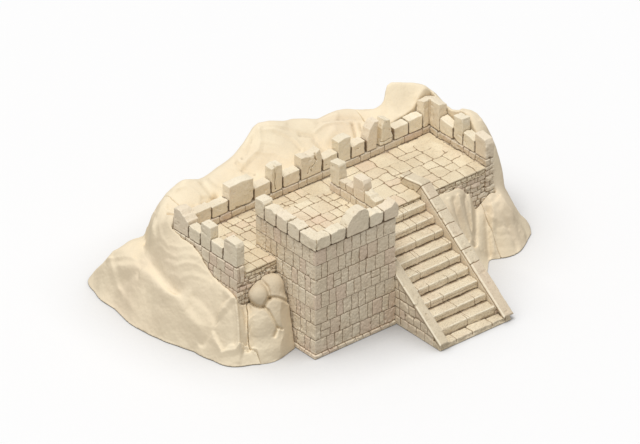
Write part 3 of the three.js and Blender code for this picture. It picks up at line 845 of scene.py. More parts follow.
build("tower_walls_lower", "tower_block", "wall_masonry",
      lambda x, y, z: np.maximum(tower_walls(x, y, z), z - TOWER_SPLIT),
      make_grid((-1.5, 100, -1.5, TOWER_BACK, 0, TOWER_SPLIT), 0.48), tower_relief,
      caps=((1, TOWER_BACK), (2, TOWER_SPLIT), (2, 0)))
build("tower_walls_upper", "tower_block", "wall_masonry",
      lambda x, y, z: np.maximum(tower_walls(x, y, z), TOWER_SPLIT - z),
      make_grid((0, 100, 0, TOWER_BACK, TOWER_SPLIT, TOWER_BODY_TOP), 0.48), tower_relief,
      caps=((1, TOWER_BACK), (2, TOWER_BODY_TOP), (2, TOWER_SPLIT)))
build("tower_top_course", "tower_block", "wall_masonry", tower_rim,
      make_grid((0, 100, 0, TOWER_BACK, TOWER_BODY_TOP, TOWER_WALL_TOP), (0.55, 0.55, 0.45)),
      tower_relief, caps=((2, TOWER_BODY_TOP),))
build("tower_right_course", "tower_right_parapet_course", "wall_masonry", right_course,
      make_grid((92, 101.5, 11.4, TOWER_BACK, 112.4, 130), 0.45),
      masonry(23, (92, 101.5, 11.4, TOWER_BACK), [112, 121, 131], size=(11, 17), quoin=(11, 15)))


def paving(name, node, seed, box, step, span, size):
    build_box(name, node, "flagstone", box, (step, step, 0.5), flagging(seed, box, size=size),
              spans={2: span} if span else {}, caps=((2, box[4]),))


paving("tower_flagstones", "tower_floor", 31,
       (11.4, 91.6, 11.4, TOWER_BACK, 104.4, TOWER_FLOOR_TOP), 0.5, (105, 109.5, 1.5), (9, 20))

# ------------------------------------------------------------ terraces
left_side = masonry(41, (TERRACE_LEFT, -38.4, FRONT, 153),
                    [0, 12, 24, 36, 46, 56.5, 68, 80.5, 95],
                    size=(9, 14), quoin=(6, 11), faces=("x0", "x1"))
left_front = masonry(42, (TERRACE_LEFT, -1.5, FRONT, 69),
                     [0, 12, 24, 36, 44, 50, 55.5, 61, 66, 71, 75.5, 80],
                     size=(5, 9.5), quoin=(4, 8), joint=0.7, depth=0.85, offset=1.0, grain=0.36,
                     chip=1.4, faces=("y0",), pillow=0.3, waver=1.0, dark=0.55)


def left_wall_relief(x, y, z):
    front = y - FRONT < x - TERRACE_LEFT
    return tuple(np.where(front, first, second)
                 for first, second in zip(left_front(x, y, z), left_side(x, y, z)))


def left_wall(x, y, z):
    return np.minimum(box_field(x, y, z, (TERRACE_LEFT, -1.5, FRONT, 69, 0, 78)),
                      box_field(x, y, z, (TERRACE_LEFT, -38.4, FRONT, BACK, 0, WALL_TOP)))


build("left_wall", "left_terrace_wall", "wall_masonry", left_wall,
      make_grid((TERRACE_LEFT, -1.5, FRONT, BACK, 0, WALL_TOP), 0.55, {2: (2, 50, 4)}),
      left_wall_relief, caps=((1, 69), (1, BACK)))


def paved_front(flags, rubble, line):
    """paving whose front shows a thin worn edge, with rubble courses below the line"""
    def relief(x, y, z):
        carve, hollow, tint = flags(x, y, z)
        rubble_carve, rubble_hollow, rubble_tint = rubble(x, y, z)
        height = z - 0.5 * noise(x * 0.12, 0, 0, 77)
        front = y < FRONT + 1.4
        below = front & (height < line)
        groove = fade(0.2, 0.75, np.abs(height - line)) * front
        edge = carve * 0.6 * front + carve * ~front
        return (np.where(below, rubble_carve + 0.5, edge) + 0.8 * groove,
                np.maximum(np.where(below, rubble_hollow, hollow), 0.8 * groove),
                np.where(below, rubble_tint, tint))
    return relief


left_rubble = masonry(49, LEFT_PAVING, [77, 79.4, 82.9, 90], size=(4, 8), quoin=(4, 7),
                      joint=0.6, depth=0.8, offset=0.9, grain=0.36, chip=1.2, faces=("y0",),
                      waver=0.8)
left_flags = flagging(43, LEFT_PAVING, size=(10, 22), open_front=True)
build_box("left_flagstones", "left_terrace_floor", "flagstone", LEFT_PAVING, 0.5,
          paved_front(left_flags, left_rubble, 83.2), caps=((2, PAVING[0]),))
paving("walkway_flagstones", "walkway_floor", 44, (0, 100, 89.4, BACK, *PAVING), 0.52,
       (79, 83.5, 1.5), (9, 20))

# a tongue of rock lies over the back right corner of the right terrace: (x, y)
TONGUE = [(262.6, 74), (262.6, BACK), (222, BACK), (238, 128), (250, 108)]


def right_floor(x, y, z):
    slab = box_field(x, y, z, RIGHT_PAVING)
    tongue = polygon_field(x, y, TONGUE)
    top = 86.2 + np.clip(-tongue / 9, 0, 1) * 2.2
    return np.minimum(slab, np.maximum(np.maximum(tongue, z - top), 84 - z))


right_rubble = masonry(50, RIGHT_PAVING, [77, 79.6, 83.3, 90], size=(5, 10), quoin=(5, 9),
                       joint=0.65, depth=0.9, offset=1.0, grain=0.36, chip=1.4, faces=("y0",),
                       waver=0.9)
right_flags = flagging(45, RIGHT_PAVING, size=(12, 28), open_front=True, warp=1.6)
right_front_relief = paved_front(right_flags, right_rubble, 83.5)


def right_floor_relief(x, y, z):
    carve, hollow, tint = right_front_relief(x, y, z)
    rocky = ease(0, 1.5, -polygon_field(x, y, TONGUE) - 1.0) * (z > 83)
    rock_carve = 0.5 * rough(x, y, z, 0.12, 91, 2) + 0.08 * noise(x, y, z, 92)
    return (carve * (1 - rocky) + rock_carve * rocky, hollow * (1 - rocky),
            tint * (1 - rocky) + 0.3 * rocky)


build("right_flagstones", "right_terrace_floor", "flagstone", right_floor,
      make_grid((*RIGHT_PAVING[:5], 88.4), (0.56, 0.56, 0.5), {2: (79, 82.5, 1.5)}),
      right_floor_relief, caps=((2, PAVING[0]),))


def shaded(relief, test):
    """relief darkened where the test holds"""
    def darker(x, y, z):
        carve, hollow, tint = relief(x, y, z)
        return carve, np.maximum(hollow, 0.27 * test(x, y, z)), tint
    return darker


FRONT_WALL = (100.4, 262.6, FRONT, 69, 0, 78)
RIGHT_WALL = (263, TERRACE_RIGHT, FRONT, BACK, 0, WALL_TOP)
BACK_WALL = (TERRACE_LEFT, TERRACE_RIGHT, 142, 154, 0, WALL_TOP)
front_wall_relief = masonry(46, FRONT_WALL, [0, 14, 28, 40, 47, 53, 58.5, 63.5, 68.5, 73, 80],
                            size=(5.5, 11), quoin=(5, 9), joint=0.7, depth=0.9, offset=1.2,
                            grain=0.4, chip=1.6, faces=("y0",), pillow=0.3, waver=1.3, dark=0.5)
build_box("right_front_wall", "right_terrace_front_wall", "wall_masonry", FRONT_WALL,
          (0.55, 0.55, 0.5), front_wall_relief, {0: (103, 188, 5), 2: (2, 42, 4)},
          caps=((1, 69),))
right_wall_relief = masonry(47, RIGHT_WALL, [0, 14, 28, 40, 50, 57, 63, 69, 75, 81, 86, 95],
                            size=(7, 12), quoin=(5.5, 11.5), joint=0.7, depth=0.8, offset=0.9,
                            grain=0.36, chip=1.4, pillow=0.28, waver=1.1, dark=0.5)
build_box("right_wall", "right_side_wall", "wall_masonry", RIGHT_WALL, (0.5, 0.6, 0.55),
          shaded(right_wall_relief, lambda x, y, z: (x < 263.9) & (z > 84) & (y > 58)),
          {2: (2, 48, 4)})
back_wall_relief = masonry(48, BACK_WALL, [0, 86, 96], size=(15, 25), quoin=(11, 18), joint=0.75,
                           depth=0.75, offset=0.6, chip=1.3, faces=("y0", "y1"))
build_box("back_wall_course", "back_wall", "wall_masonry", BACK_WALL, (0.6, 0.6, 0.55),
          shaded(back_wall_relief, lambda x, y, z: (y < 142.9) & (z > 84)), {2: (2, 82, 8)})

# ------------------------------------------------------------ terrace parapet
# rows: node, foot start, foot end, rest of the outline, foot rounding, top wear, extras
LEFT_CORNER = [
    ("corner_merlon_left_back", 131, MERLON_BACK,
     [(153.6, 116.5), (149, 119), (143, 118.5), (136.5, 114.5), (131, 110.5)], 0, 0.8,
     dict(ragged=1.2, chips=6))]
BACK_MERLONS = [
    ("back_merlon_wide", 11, 18.5,
     [(19.5, PARAPET + 2.2), (24, PARAPET + 1.0), (38, PARAPET), (42, PARAPET + 6), (42, 120),
      (27, 122), (11, 121)], 0.8, 0, dict(ragged=0.35, chips=3, radius=0.7)),
    ("back_merlon_split", 64, 78, [(78, 122), (70, 123), (64, 121)], 3.0, 0.5,
     dict(chips=5, cuts=(
         crack([(69, 124), (68.2, 117), (69.4, 110), (68.4, 102), (69.5, 96)], 0.55, 3.2),))),
    ("back_merlon_cracked", 101, 127,
     [(128, 112), (125, 121), (119, 117.5), (113, 116.5), (107, 119), (101, 119)], 2.0, 0,
     dict(ragged=0.9, chips=5, cuts=(
         crack([(120, 119), (118.5, 113), (121, 109), (116.5, 105), (113.5, 102), (114.5, 99)],
               0.6, 2.6),
         crack([(116.5, 105), (112, 104), (110, 98)], 0.45, 1.8)))),
    ("back_merlon_narrow", 148, 164, [(164, 120), (156, 121), (148, 119)], 1.2, 0,
     dict(cuts=(hole(150.2, MERLON_FRONT, 97.2, 1.7),))),
    ("back_merlon_slanted", 184.5, 196, [(199.5, 124.5), (193.5, 125), (187, 118), (184, 105)],
     0, 0.9, dict(ragged=1.3, chips=6)),
    ("back_merlon_leaning", 200, 217,
     [(218, 99), (213.5, 120), (206, 122.5), (202.5, 113), (203, 101)], 2.5, 0.5,
     dict(ragged=1.0, chips=5, cuts=(
         crack([(201, 98.5), (207, 97.2), (217, 98.6)], 0.5, 2.2),)))]
LEFT_STONES = [
    ("left_low_stone_back", 113, 130.4, [(130.4, 109), (113, 107.5)], 2.4, 0.4, {}),
    ("left_merlon_back", 97, 112.6, [(112.6, 119), (110, 121), (97, 120)], 1.2, 0.3, {}),
    ("left_low_stone_front", 79, 96.6, [(96.6, 108.5), (79, 106.5)], 2.8, 0.5, {}),
    ("left_merlon_corner", 58, 78.6, [(77.5, 117), (74, 120.5), (60, 119.5), (58, 116)],
     1.8, 0.35, dict(free="lo"))]
RIGHT_STONES = [
    ("right_low_stone_back", 107.6, 127.6, [(127.6, 110), (107.6, 108)], 4.0, 0.4, {}),
    ("right_merlon_middle", 93, 99, [(107.2, PARAPET + 4), (107.2, 122), (93, 123.5)],
     1.6, 0.3, {}),
    ("right_low_stone_front", 75, 92.6, [(92.6, 110), (75, 108)], 2.8, 0.5, {}),
    ("right_merlon_end", 57.4, 74.6, [(74.6, 117), (60, 115), (57.4, 110)], 1.2, 0.25,
     dict(free="lo", cuts=(hole(268.5, 57.4, 94.2, 1.9),)))]
# low stones between the back merlons: start, end, height at the end, foot rounding
BACK_LOW = [(-34, -10.5, 109, 2.6), (-10.1, 10.2, 108, 3.4), (42.9, 63.2, 109, 2.2),
            (78.9, 100.2, 108, 4.2), (128.9, 147.2, 108.5, 2.4), (164.9, 181.8, 109, 1.5),
            (218.9, 237, 108, 3.0), (237.4, 255.2, 110, 3.6)]


def right_corner(x, y, z):
    """L-shaped corner merlon, its head sloping down to the back and right"""
    body = np.minimum(box_field(x, y, z, (256, 274.1, MERLON_FRONT, MERLON_BACK, PARAPET, 124)),
                      box_field(x, y, z, (263.4, 274.1, 128, MERLON_BACK, PARAPET, 124)))
    body = np.maximum(body, z - 123.4 + 0.38 * np.maximum(y - 146, 0)
                      + 0.3 * np.maximum(x - 267, 0) + 0.5 * rough(x, y, 0, 0.3, 109))
    body = np.maximum(body, (y - 128) * -0.45 + (z - 124) * 0.9 + 0.5)
    body = np.maximum(body, (274.1 - x) * -0.7 + (z - 124) * 0.7 + 0.5)
    groove = np.hypot(x - 263.6, y - 142.6) - 1.15      # in the inner corner
    return np.maximum(body + 0.3, -groove)


stone_row(LEFT_CORNER, "x", (-49.6, -36), 101, PARAPET, "stone")
stone_row(BACK_MERLONS, "y", (MERLON_FRONT, MERLON_BACK), 102, PARAPET, "stone")
build("corner_merlon_right_back_stone", "corner_merlon_right_back", "parapet_stone",
      right_corner, make_grid((256, 274.1, 128, MERLON_BACK, PARAPET, 124), 0.45),
      plain(108, PARAPET, lump_frequency=0.13, grain=0.14), band=2.5, curv=(1.3, 0.8))
for n, (start, end, height, foot) in enumerate(BACK_LOW):
    stone(f"back_low_stone_{n + 1}", "back_wall", "y",
          [(start, PARAPET), (end, PARAPET), (end, height), (start, height - 1.0)],
          (MERLON_FRONT, MERLON_BACK), 120 + n, foot=foot, ragged=0.6, top=0.35)
stone_row(LEFT_STONES, "x", (-49.6, -38.8), 140, PARAPET, ragged=0.3)
stone_row(RIGHT_STONES, "x", (263.4, 274.1), 150, PARAPET, ragged=0.3)

# ------------------------------------------------------------ tower parapet
# same columns as the terrace parapet
TOWER_LEFT = [
    ("tower_merlon_left", 75, 89, [(89, 140), (77, 141), (75, 138)], 1.2, 0.3,
     dict(ragged=0.16, free="hi")),
    ("tower_left_stone_1", 57.4, 74.6, [(74.6, 137), (64, 138.5), (57.4, 136)], 4.8, 0.9,
     dict(ragged=0.32)),
    ("tower_left_stone_2", 40.4, 57, [(57, 137.5), (48, 136), (40.4, 137.5)], 4.2, 1.0,
     dict(ragged=0.36)),
    ("tower_left_stone_3", 22.4, 40, [(40, 136), (30, 137.5), (22.4, 135)], 3.6, 1.0,
     dict(ragged=0.32))]
TOWER_FRONT = [
    ("tower_front_stone_1", 18.4, 37.4, [(37.4, 134), (28, 135.5), (18.4, 133.5)], 4.6, 1.1,
     dict(ragged=0.4)),
    ("tower_front_arch_stone", 37.8, 66,
     [(66, 139), (64.5, 143), (60, 146), (53, 146), (46, 142.5), (41, 137), (37.8, 131)],
     3.4, 0.35, dict(ragged=0.28)),
    ("tower_front_stone_2", 66.4, 84, [(84, 133.5), (75, 136), (66.4, 134)], 5.0, 1.2,
     dict(ragged=0.44)),
    ("tower_front_stone_3", 84.4, 103, [(103, 133), (99, 139.5), (90, 134.5), (84.4, 134)],
     3.2, 1.0, dict(ragged=0.36, free="hi"))]
TOWER_RIGHT = [
    ("tower_merlon_right_back", 74.8, 89, [(89, 145), (76, 146), (74.8, 144)], 1.0, 0.3,
     dict(ragged=0.2)),
    ("tower_merlon_right_middle", 38, 54.2, [(54.2, 144), (40, 145), (38, 141)], 1.4, 0.3,
     dict(ragged=0.2)),
    ("tower_right_broken_stone", 20, 37.6, [(37.6, 135), (29, 133.5), (20, 130)], 2.0, 1.2,
     dict(ragged=0.56))]


def corner_stone(x, y, z):
    """L-shaped stone on the front left corner"""
    body = np.minimum(box_field(x, y, z, (-1.5, 18, -1.5, 11, TOWER_PARAPET, 134.5)),
                      box_field(x, y, z, (-1.5, 11, -1.5, 22, TOWER_PARAPET, 134.5)))
    radius = 3.4                                            # eased foot at both free ends
    low = np.maximum(TOWER_PARAPET + radius - z, 0)
    for value, end in ((x, 18), (y, 22)):
        body = np.maximum(body, np.hypot(np.maximum(value - (end - radius), 0), low) - radius)
    body = np.maximum(body, ((x + 1.5) + (y + 1.5)) * -0.7071 + 0.55)           # worn arris
    body = np.maximum(body, -np.maximum(np.abs(x - 0.9) - 0.42, y + 0.2))       # upright joint
    waves = 0.9 * rough(x, y, 0, 0.4, 171) + 0.5 * rough(x, y, 0, 0.9, 172)
    return np.maximum(body, z - 133.6 + waves * 0.7) + 0.3


tower_shared = dict(step=0.42, radius=0.35)
stone_row(TOWER_LEFT, "x", (-1.5, 11), 160, TOWER_PARAPET, chips=6, upto=134, **tower_shared)
build("tower_corner_block", "tower_corner_stone", "parapet_stone", corner_stone,
      make_grid((-1.5, 18, -1.5, 22, TOWER_PARAPET, 134.5), 0.42),
      plain(170, TOWER_PARAPET, lump=0.3), band=2.5, curv=(1.3, 0.8))
stone_row(TOWER_FRONT, "y", (-1.5, 11), 180, TOWER_PARAPET, chips=6, upto=133, **tower_shared)
stone_row(TOWER_RIGHT, "x", (92, 102.5), 190, TOWER_PARAPET, chips=5, upto=124, free="lohi",
          **tower_shared)

# ------------------------------------------------------------ stair
RUN, RISE = 12.86, 8.46
BASE_TOP = 6
BASE_SLAB = (STAIR_LEFT, STAIR_RIGHT, STAIR_FRONT, -55.3, 0, BASE_TOP)
build_box("stair_foot_slab", "stair_base_slab", "step_stone", BASE_SLAB, 0.45,
          flagging(61, BASE_SLAB, size=(14, 26), open_front=True, warp=0.5), inset=0.15)


def step_relief(i, y0, top):
    """joints, bed line and worn nosing of step i, its riser at y0, with painted shade in its inner
    corners and a painted highlight along the nosing
    """
    rng = np.random.default_rng(200 + i)
    places = np.sort(rng.uniform(115, 176, rng.integers(2, 5)))
    lengths = rng.uniform(4.5, 12.5, len(places))
    skews = rng.uniform(-0.12, 0.12, len(places))
    from_nose = rng.random(len(places)) < 0.75

    def relief(x, y, z):
        to_joint = np.full(x.shape, 9.0)
        for place, length, skew, nosed in zip(places, lengths, skews, from_nose):
            wobble = 0.5 * noise(y * 0.25, place, z * 0.3, 210 + i)
            dist = np.abs(x - place - skew * (y - y0) - wobble)
            reach = (y < y0 + length) if nosed else (z > top - 1.5)
            to_joint = np.where(reach, np.minimum(to_joint, dist), to_joint)
        middle = top - 4.4 + 0.5 * noise(x * 0.12, 0.0, 0.0, 220 + i)   # bed joint in the riser
        to_bed = np.where((y < y0 + 1.6), np.abs(z - middle), 9.0)
        groove = fade(0.1, 0.6, to_joint)
        bed = fade(0.1, 0.6, to_bed) * ease(-0.1, 0.4, noise(x * 0.07, 0, 0, 230 + i))
        to_nose = np.hypot(y - y0, z - top)
        chips = np.maximum(noise(x * 0.22, y * 0.3, z * 0.3, 240 + i) - 0.1, 0)
        worn = 0.25 * fade(0.0, 2.6, to_nose) + chips * 1.6 * fade(0, 3.4, to_nose)
        carve = (0.55 * groove + 0.3 * bed + worn + 0.2 * rough(x, y, z, 0.5, 250 + i, 2)
                 + 0.3 * rough(x, y, z, 0.12, 260 + i))
        # painted shade in the inner corner at the back of the tread and along the foot of the
        # riser, patchy
        inner = np.hypot(np.minimum(y - y0 - RUN, 0),
                         np.maximum(z - top, 0) + np.maximum(top - z - 0.6, 0))
        corner_shade = (0.75 * fade(0.2, 2.6, inner)
                + 0.6 * fade(0.0, 2.2, z - (top - 8.2)) * (y < y0 + 2))
        carve = (carve + 0.34 * np.abs(rough(x, y, z, 0.75, 280 + i))
                 + 0.22 * np.abs(noise(x * 1.3, y * 0.25, z * 0.25, 290 + i)))
        # painted highlight along the nosing
        lit = fade(0.3, 1.3, np.hypot(y - y0 - 0.5, z - top + 0.5)) * (groove < 0.3)
        patches = 0.75 + 0.4 * noise(x * 0.2, y * 0.3, z * 0.3, 285 + i)
        hollow = np.clip(groove * 0.65 + bed * 0.45 + corner_shade * patches, 0, 1)
        shade = np.where(lit > 0.1, -0.8 * lit, 0) + hollow * (lit <= 0.1)
        return carve, shade, 0.5 + 0.5 * noise(x * 0.08, y * 0.13, z * 0.1, 270 + i)
    return relief


for i in range(1, 10):
    riser = FIRST_STEP + RUN * (i - 1)
    top = BASE_TOP + RISE * i
    bottom = 0 if i == 1 else BASE_TOP + RISE * (i - 1) + 0.4
    build_box(f"stair_step_{i}_slab", f"stair_step_{i}", "step_stone",
              (111.4, 179.6, riser, STAIR_BACK, bottom, top), 0.45, step_relief(i, riser, top),
              {1: (riser + 15, 54, 6)}, inset=0.1)

SLOPE = 0.7285
COPING_FRONT, COPING_FOOT, COPING_DEPTH = -67.5, 6.4, 4.6


def coping_top(y):
    return 9 + SLOPE * (y - STAIR_FRONT)


WALL_OUTLINE = [(FIRST_STEP, 0), (STAIR_BACK, 0), (STAIR_BACK, coping_top(STAIR_BACK) - 5),
                (FIRST_STEP, coping_top(FIRST_STEP) - 5)]       # (y, z)
# node, x range, seed, outer face, x of the hidden face
for node, x0, x1, seed, face, hidden in (("stair_left_wall", STAIR_LEFT, 110.6, 62, "x0", 110.6),
                                         ("stair_right_wall", 180, STAIR_RIGHT, 63, "x1", 180)):
    build(f"{node}_masonry", node, "wall_masonry",
          lambda x, y, z: extrude(polygon_field(y, z, WALL_OUTLINE), x, x0, x1),
          make_grid((x0, x1, FIRST_STEP, STAIR_BACK, 0, WALL_OUTLINE[2][1]), (0.5, 0.55, 0.55)),
          masonry(seed, (x0, x1, FIRST_STEP, STAIR_BACK),
                  [0, 9.5, 19.5, 29.5, 39.5, 49.5, 59.5, 69.5, 79.5, 90, 102],
                  size=(8, 14), quoin=(7, 12), faces=(face, "y0"), joint=0.7, depth=0.65),
          caps=((0, hidden), (2, 0)))


def coping(node, x0, x1, top, under, joints, seed, cutter=None):
    """Bevelled slabs on a stair wall; top and under are their (y, z) lines, joints are in y."""
    centre, half = (x0 + x1) / 2, (x1 - x0) / 2
    cosine, sine = math.cos(math.atan(SLOPE)), math.sin(math.atan(SLOPE))
    stations = [y * cosine + coping_top(y) * sine for y in joints]
    chance = np.random.default_rng(seed).random(40)
    toe = STAIR_FRONT + (6 + 0.4 + COPING_DEPTH - 9) / SLOPE
    outline = [(toe, COPING_FOOT), (COPING_FRONT, COPING_FOOT)] + top + under

    def field(x, y, z):
        body = extrude(polygon_field(y, z, outline), x, x0, x1)
        depth = -line_distance(*np.broadcast_arrays(y, z), top)
        side = np.abs(x - centre) - half
        body = np.maximum(body, ((depth + side + 1.5) * 0.7071).astype(np.float32))
        if cutter is not None:
            body = np.maximum(body, -cutter(x, y, z))
        return body

    def relief(x, y, z):
        along = y * cosine + z * sine
        dist = np.full(x.shape, 9.0)
        slab = np.zeros(x.shape, int)
        for n, station in enumerate(stations):
            wobble = 0.35 * noise(x * 0.3, n * 3.3, 0, seed + 2)
            dist = np.minimum(dist, np.abs(along - station - wobble))
            slab = np.where(along > station, n + 1, slab)
        groove = fade(0.15, 0.65, dist)
        carve = (0.7 * groove + (chance[slab] - 0.5) * 0.2 + 0.14 * rough(x, y, z, 0.55, seed, 2)
                 + 0.22 * rough(x, y, z, 0.14, seed + 1))
        carve = carve + np.maximum(rough(x, y, z, 0.3, seed + 4) - 0.45, 0) * 2.0
        side = np.abs(x - centre) - half
        low = line_distance(y, z, top)
        lit = fade(0.9, 1.5, -side) * fade(1.0, 1.7, low) * (groove < 0.3)
        dim = 0.5 * (side > -0.9) * ease(1.6, 2.4, low) * fade(2.8, 3.6, low)
        shade = np.where(lit > 0.1, -0.95 * lit, np.clip(groove * 0.8 + dim, 0, 1))
        return carve, shade, chance[slab + 12]

    ys, zs = zip(*outline)
    build(f"{node}_slabs", node, "coping_stone", field,
          make_grid((x0, x1, min(ys), max(ys), COPING_FOOT, max(zs)), 0.45), relief, band=2.5,
          curv=(1, 0.7))


def tower_clearance(x, y, z):
    """room for the tower wall and its parapet beside the left coping"""
    return np.minimum(box_field(x, y, z, (-5, 100.4, -0.4, 89, -5, 140)),
                      box_field(x, y, z, (90, 103, -1.9, 90, 111, 150)))


coping_start = (COPING_FRONT, coping_top(COPING_FRONT))
coping_end = (STAIR_BACK, coping_top(STAIR_BACK))
coping_under = (STAIR_BACK, coping_top(STAIR_BACK) - COPING_DEPTH)
coping("stair_left_coping", 99.4, 111, [coping_start, coping_end], [coping_under], [9], 64,
       tower_clearance)
coping("stair_right_coping", 180, 192.4,
       [coping_start, (57.6, coping_top(57.6)), (88, 95.2)],
       [(88, 86.4), (STAIR_BACK, 86.4), coping_under], [-18, -5, 7, 19, 31, 43, 55.5, 72], 65)

# ------------------------------------------------------------ rock outcrop
# foot line on the table: (x, y)
OUTLINE = [
    (2, 27), (-9, 24), (-20, 21.5), (-33, 19.5), (-45, 23.5), (-53, 29), (-64, 34), (-73, 42),
    (-78, 59), (-82, 84), (-88, 104), (-93, 124), (-96, 144), (-97, 165), (-95, 177),
    (-92, 193), (-92, 212), (-87, 230), (-78, 251), (-64, 258), (-50, 258), (-20, 258),
    (20, 256), (60, 258), (100, 262), (140, 258), (180, 254), (220, 248), (255, 236),
    (285, 218), (305, 190), (315, 155), (324, 118), (324, 85), (318, 52), (309, 41), (300, 35),
    (287, 26.5), (272, 21), (255, 25), (246, 29), (238, 23), (229, 14), (210, 4), (188, -1)]
# heights the surface passes through: (x, y, z)
CONTROL = [
    (-50, 146, 93), (-50, 127, 92), (-50, 110, 84), (-50, 96, 73), (-50, 79, 67),
    (-50, 60, 63), (-30, 146, 96), (0, 152, 98), (-20, 100, 80), (50, 100, 95),
    (150, 100, 85), (220, 100, 80), (50, 40, 60), (-66, 92, 46), (-75, 84, 20), (-60, 60, 50),
    (-66, 50, 25), (-84, 124, 24), (-70, 122, 56), (-60, 117, 73), (-84, 150, 24),
    (-68, 156, 56), (-80, 180, 22), (-66, 186, 42), (-50, 160, 99), (-46, 172, 98),
    (-56, 178, 82), (-75, 205, 24), (-60, 200, 52), (-50, 194, 64), (-57, 225, 38),
    (-49.5, 217, 46), (-43, 211, 52), (-70, 229, 27), (-68, 244, 14), (-36, 216, 42),
    (-30, 230, 27), (-46, 184, 94), (-38, 193, 92), (-30, 203, 86), (-50, 56, 60),
    (-52, 44, 36), (-56, 38, 16), (-40, 52, 50), (-30, 52, 66), (-16, 50, 70), (-10, 44, 62),
    (-25, 40, 48), (-12, 34, 38), (-30, 32, 24), (-8, 30, 20), (-30, 175, 106),
    (-10, 185, 117), (10, 180, 112), (26, 190, 106), (55, 195, 109), (80, 200, 124),
    (95, 203, 133), (113, 205, 129), (148, 203, 120), (185, 195, 115), (207, 195, 112),
    (220, 186, 109), (226, 180, 112), (243, 184, 135), (256, 182, 135), (271, 169, 131),
    (281, 162, 123), (40, 165, 99), (80, 168, 104), (120, 168, 108), (160, 165, 104),
    (200, 165, 100), (225, 160, 108), (240, 160, 111), (255, 158, 115), (-5, 225, 58),
    (40, 232, 70), (90, 236, 72), (140, 236, 66), (190, 230, 60), (240, 212, 70),
    (270, 195, 74), (150, 220, 98), (100, 225, 100), (200, 215, 88), (20, 215, 88),
    (277, 147, 119), (286, 108, 122), (281, 85, 105), (288, 66, 57), (277, 120, 117),
    (295, 100, 112), (301, 90, 90), (303, 84, 68), (306, 75, 40), (312, 120, 50),
    (300, 150, 72), (285, 180, 86), (276, 62, 60), (300, 58, 30), (285, 45, 38),
    (268, 45, 45), (262, 57, 55), (250, 57, 50), (240, 57, 68), (225, 52, 72), (206, 54, 76),
    (195, 50, 70), (215, 42, 50), (232, 45, 45), (250, 42, 28), (272, 34, 24), (200, 30, 36),
    (290, 38, 16), (306, 50, 14)]


def fit_surface():
    """radial basis fit through the foot line and the control heights"""
    foot = []
    for (ax, ay), (bx, by) in zip(OUTLINE[:-1], OUTLINE[1:]):
        n = max(1, int(math.hypot(bx - ax, by - ay) // 22))
        foot += [(ax + (bx - ax) * k / n, ay + (by - ay) * k / n, 0.0) for k in range(n)]
    centres = np.array(foot + [tuple(map(float, p)) for p in CONTROL])
    n = len(centres)
    dist = np.hypot(centres[:, None, 0] - centres[None, :, 0],
                    centres[:, None, 1] - centres[None, :, 1])
    matrix = np.zeros((n + 3, n + 3))
    matrix[:n, :n] = np.sqrt(dist * dist + 16)
    linear_part = np.stack([np.ones(n), centres[:, 0] / 100, centres[:, 1] / 100], 1)
    matrix[:n, n:], matrix[n:, :n] = linear_part, linear_part.T
    heights = np.zeros(n + 3)
    heights[:n] = centres[:, 2]
    return centres, np.linalg.solve(matrix, heights)


CENTRES, WEIGHTS = fit_surface()


def smooth_height(x, y):
    z = WEIGHTS[-3] + WEIGHTS[-2] * x / 100 + WEIGHTS[-1] * y / 100
    for centre, weight in zip(CENTRES, WEIGHTS):
        z = z + weight * np.sqrt((x - centre[0]) ** 2 + (y - centre[1]) ** 2 + 16)
    return z


# broad facets: planes tangent to the smooth surface at scattered sites, blended
site_rng = np.random.default_rng(77)
site_x, site_y = np.meshgrid(np.arange(-100, 340, 23.0), np.arange(10, 275, 23.0), indexing="ij")
site_x = (site_x + site_rng.uniform(-9, 9, site_x.shape)).ravel()
site_y = (site_y + site_rng.uniform(-9, 9, site_y.shape)).ravel()
REACH = 5.0
SITES = list(zip(
    site_x, site_y, smooth_height(site_x, site_y),
    (smooth_height(site_x + REACH, site_y) - smooth_height(site_x - REACH, site_y)) / (2 * REACH),
    (smooth_height(site_x, site_y + REACH) - smooth_height(site_x, site_y - REACH)) / (2 * REACH)))

# flat faces of the hill: corners (x, y, z), softness of the edge
FACETS = [
    ([(-69.9, 226.2, 30), (-64.8, 212.9, 42), (-64.9, 196.6, 44), (-69.9, 170, 44),
      (-78, 171.7, 27), (-80.3, 197.7, 13), (-75.8, 212.2, 22.5)], 3.5),
    ([(-66.8, 104.9, 50), (-51.6, 86.4, 68.5), (-54.3, 62, 58.5), (-60.1, 66.8, 49),
      (-68.5, 70.5, 23), (-75.3, 87.9, 18), (-75.5, 103.8, 28.5)], 5.0),
    ([(-60.5, 64.3, 46.5), (-51.2, 56.8, 59), (-56.1, 46.6, 38), (-60.3, 40.4, 15),
      (-72.2, 52.6, 9.5), (-70.4, 70.8, 17.5)], 2.6),
    ([(-51.2, 56.8, 59), (-39.5, 58.2, 58), (-44.5, 46.7, 41), (-51.1, 38.8, 19.5),
      (-60.3, 40.4, 13), (-56.1, 46.6, 36)], 2.2),
    ([(244, 182, 134), (271, 169, 130), (268, 181, 125), (254, 194, 127), (244, 190, 132)], 2.0),
    ([(282, 118, 123), (291, 108, 121), (293, 92, 110), (282, 92, 112), (276, 108, 121)], 3.0)]

# The tables below lie in the plane of the main view, u to the right and v down.
VIEW_RISE = 0.884       # how far a unit of height moves a point up in the view


def to_view(x, y, z):
    return 315.4 + 0.7947 * x - 0.6635 * y, 357.6 - 0.3458 * x - 0.4141 * y - VIEW_RISE * z


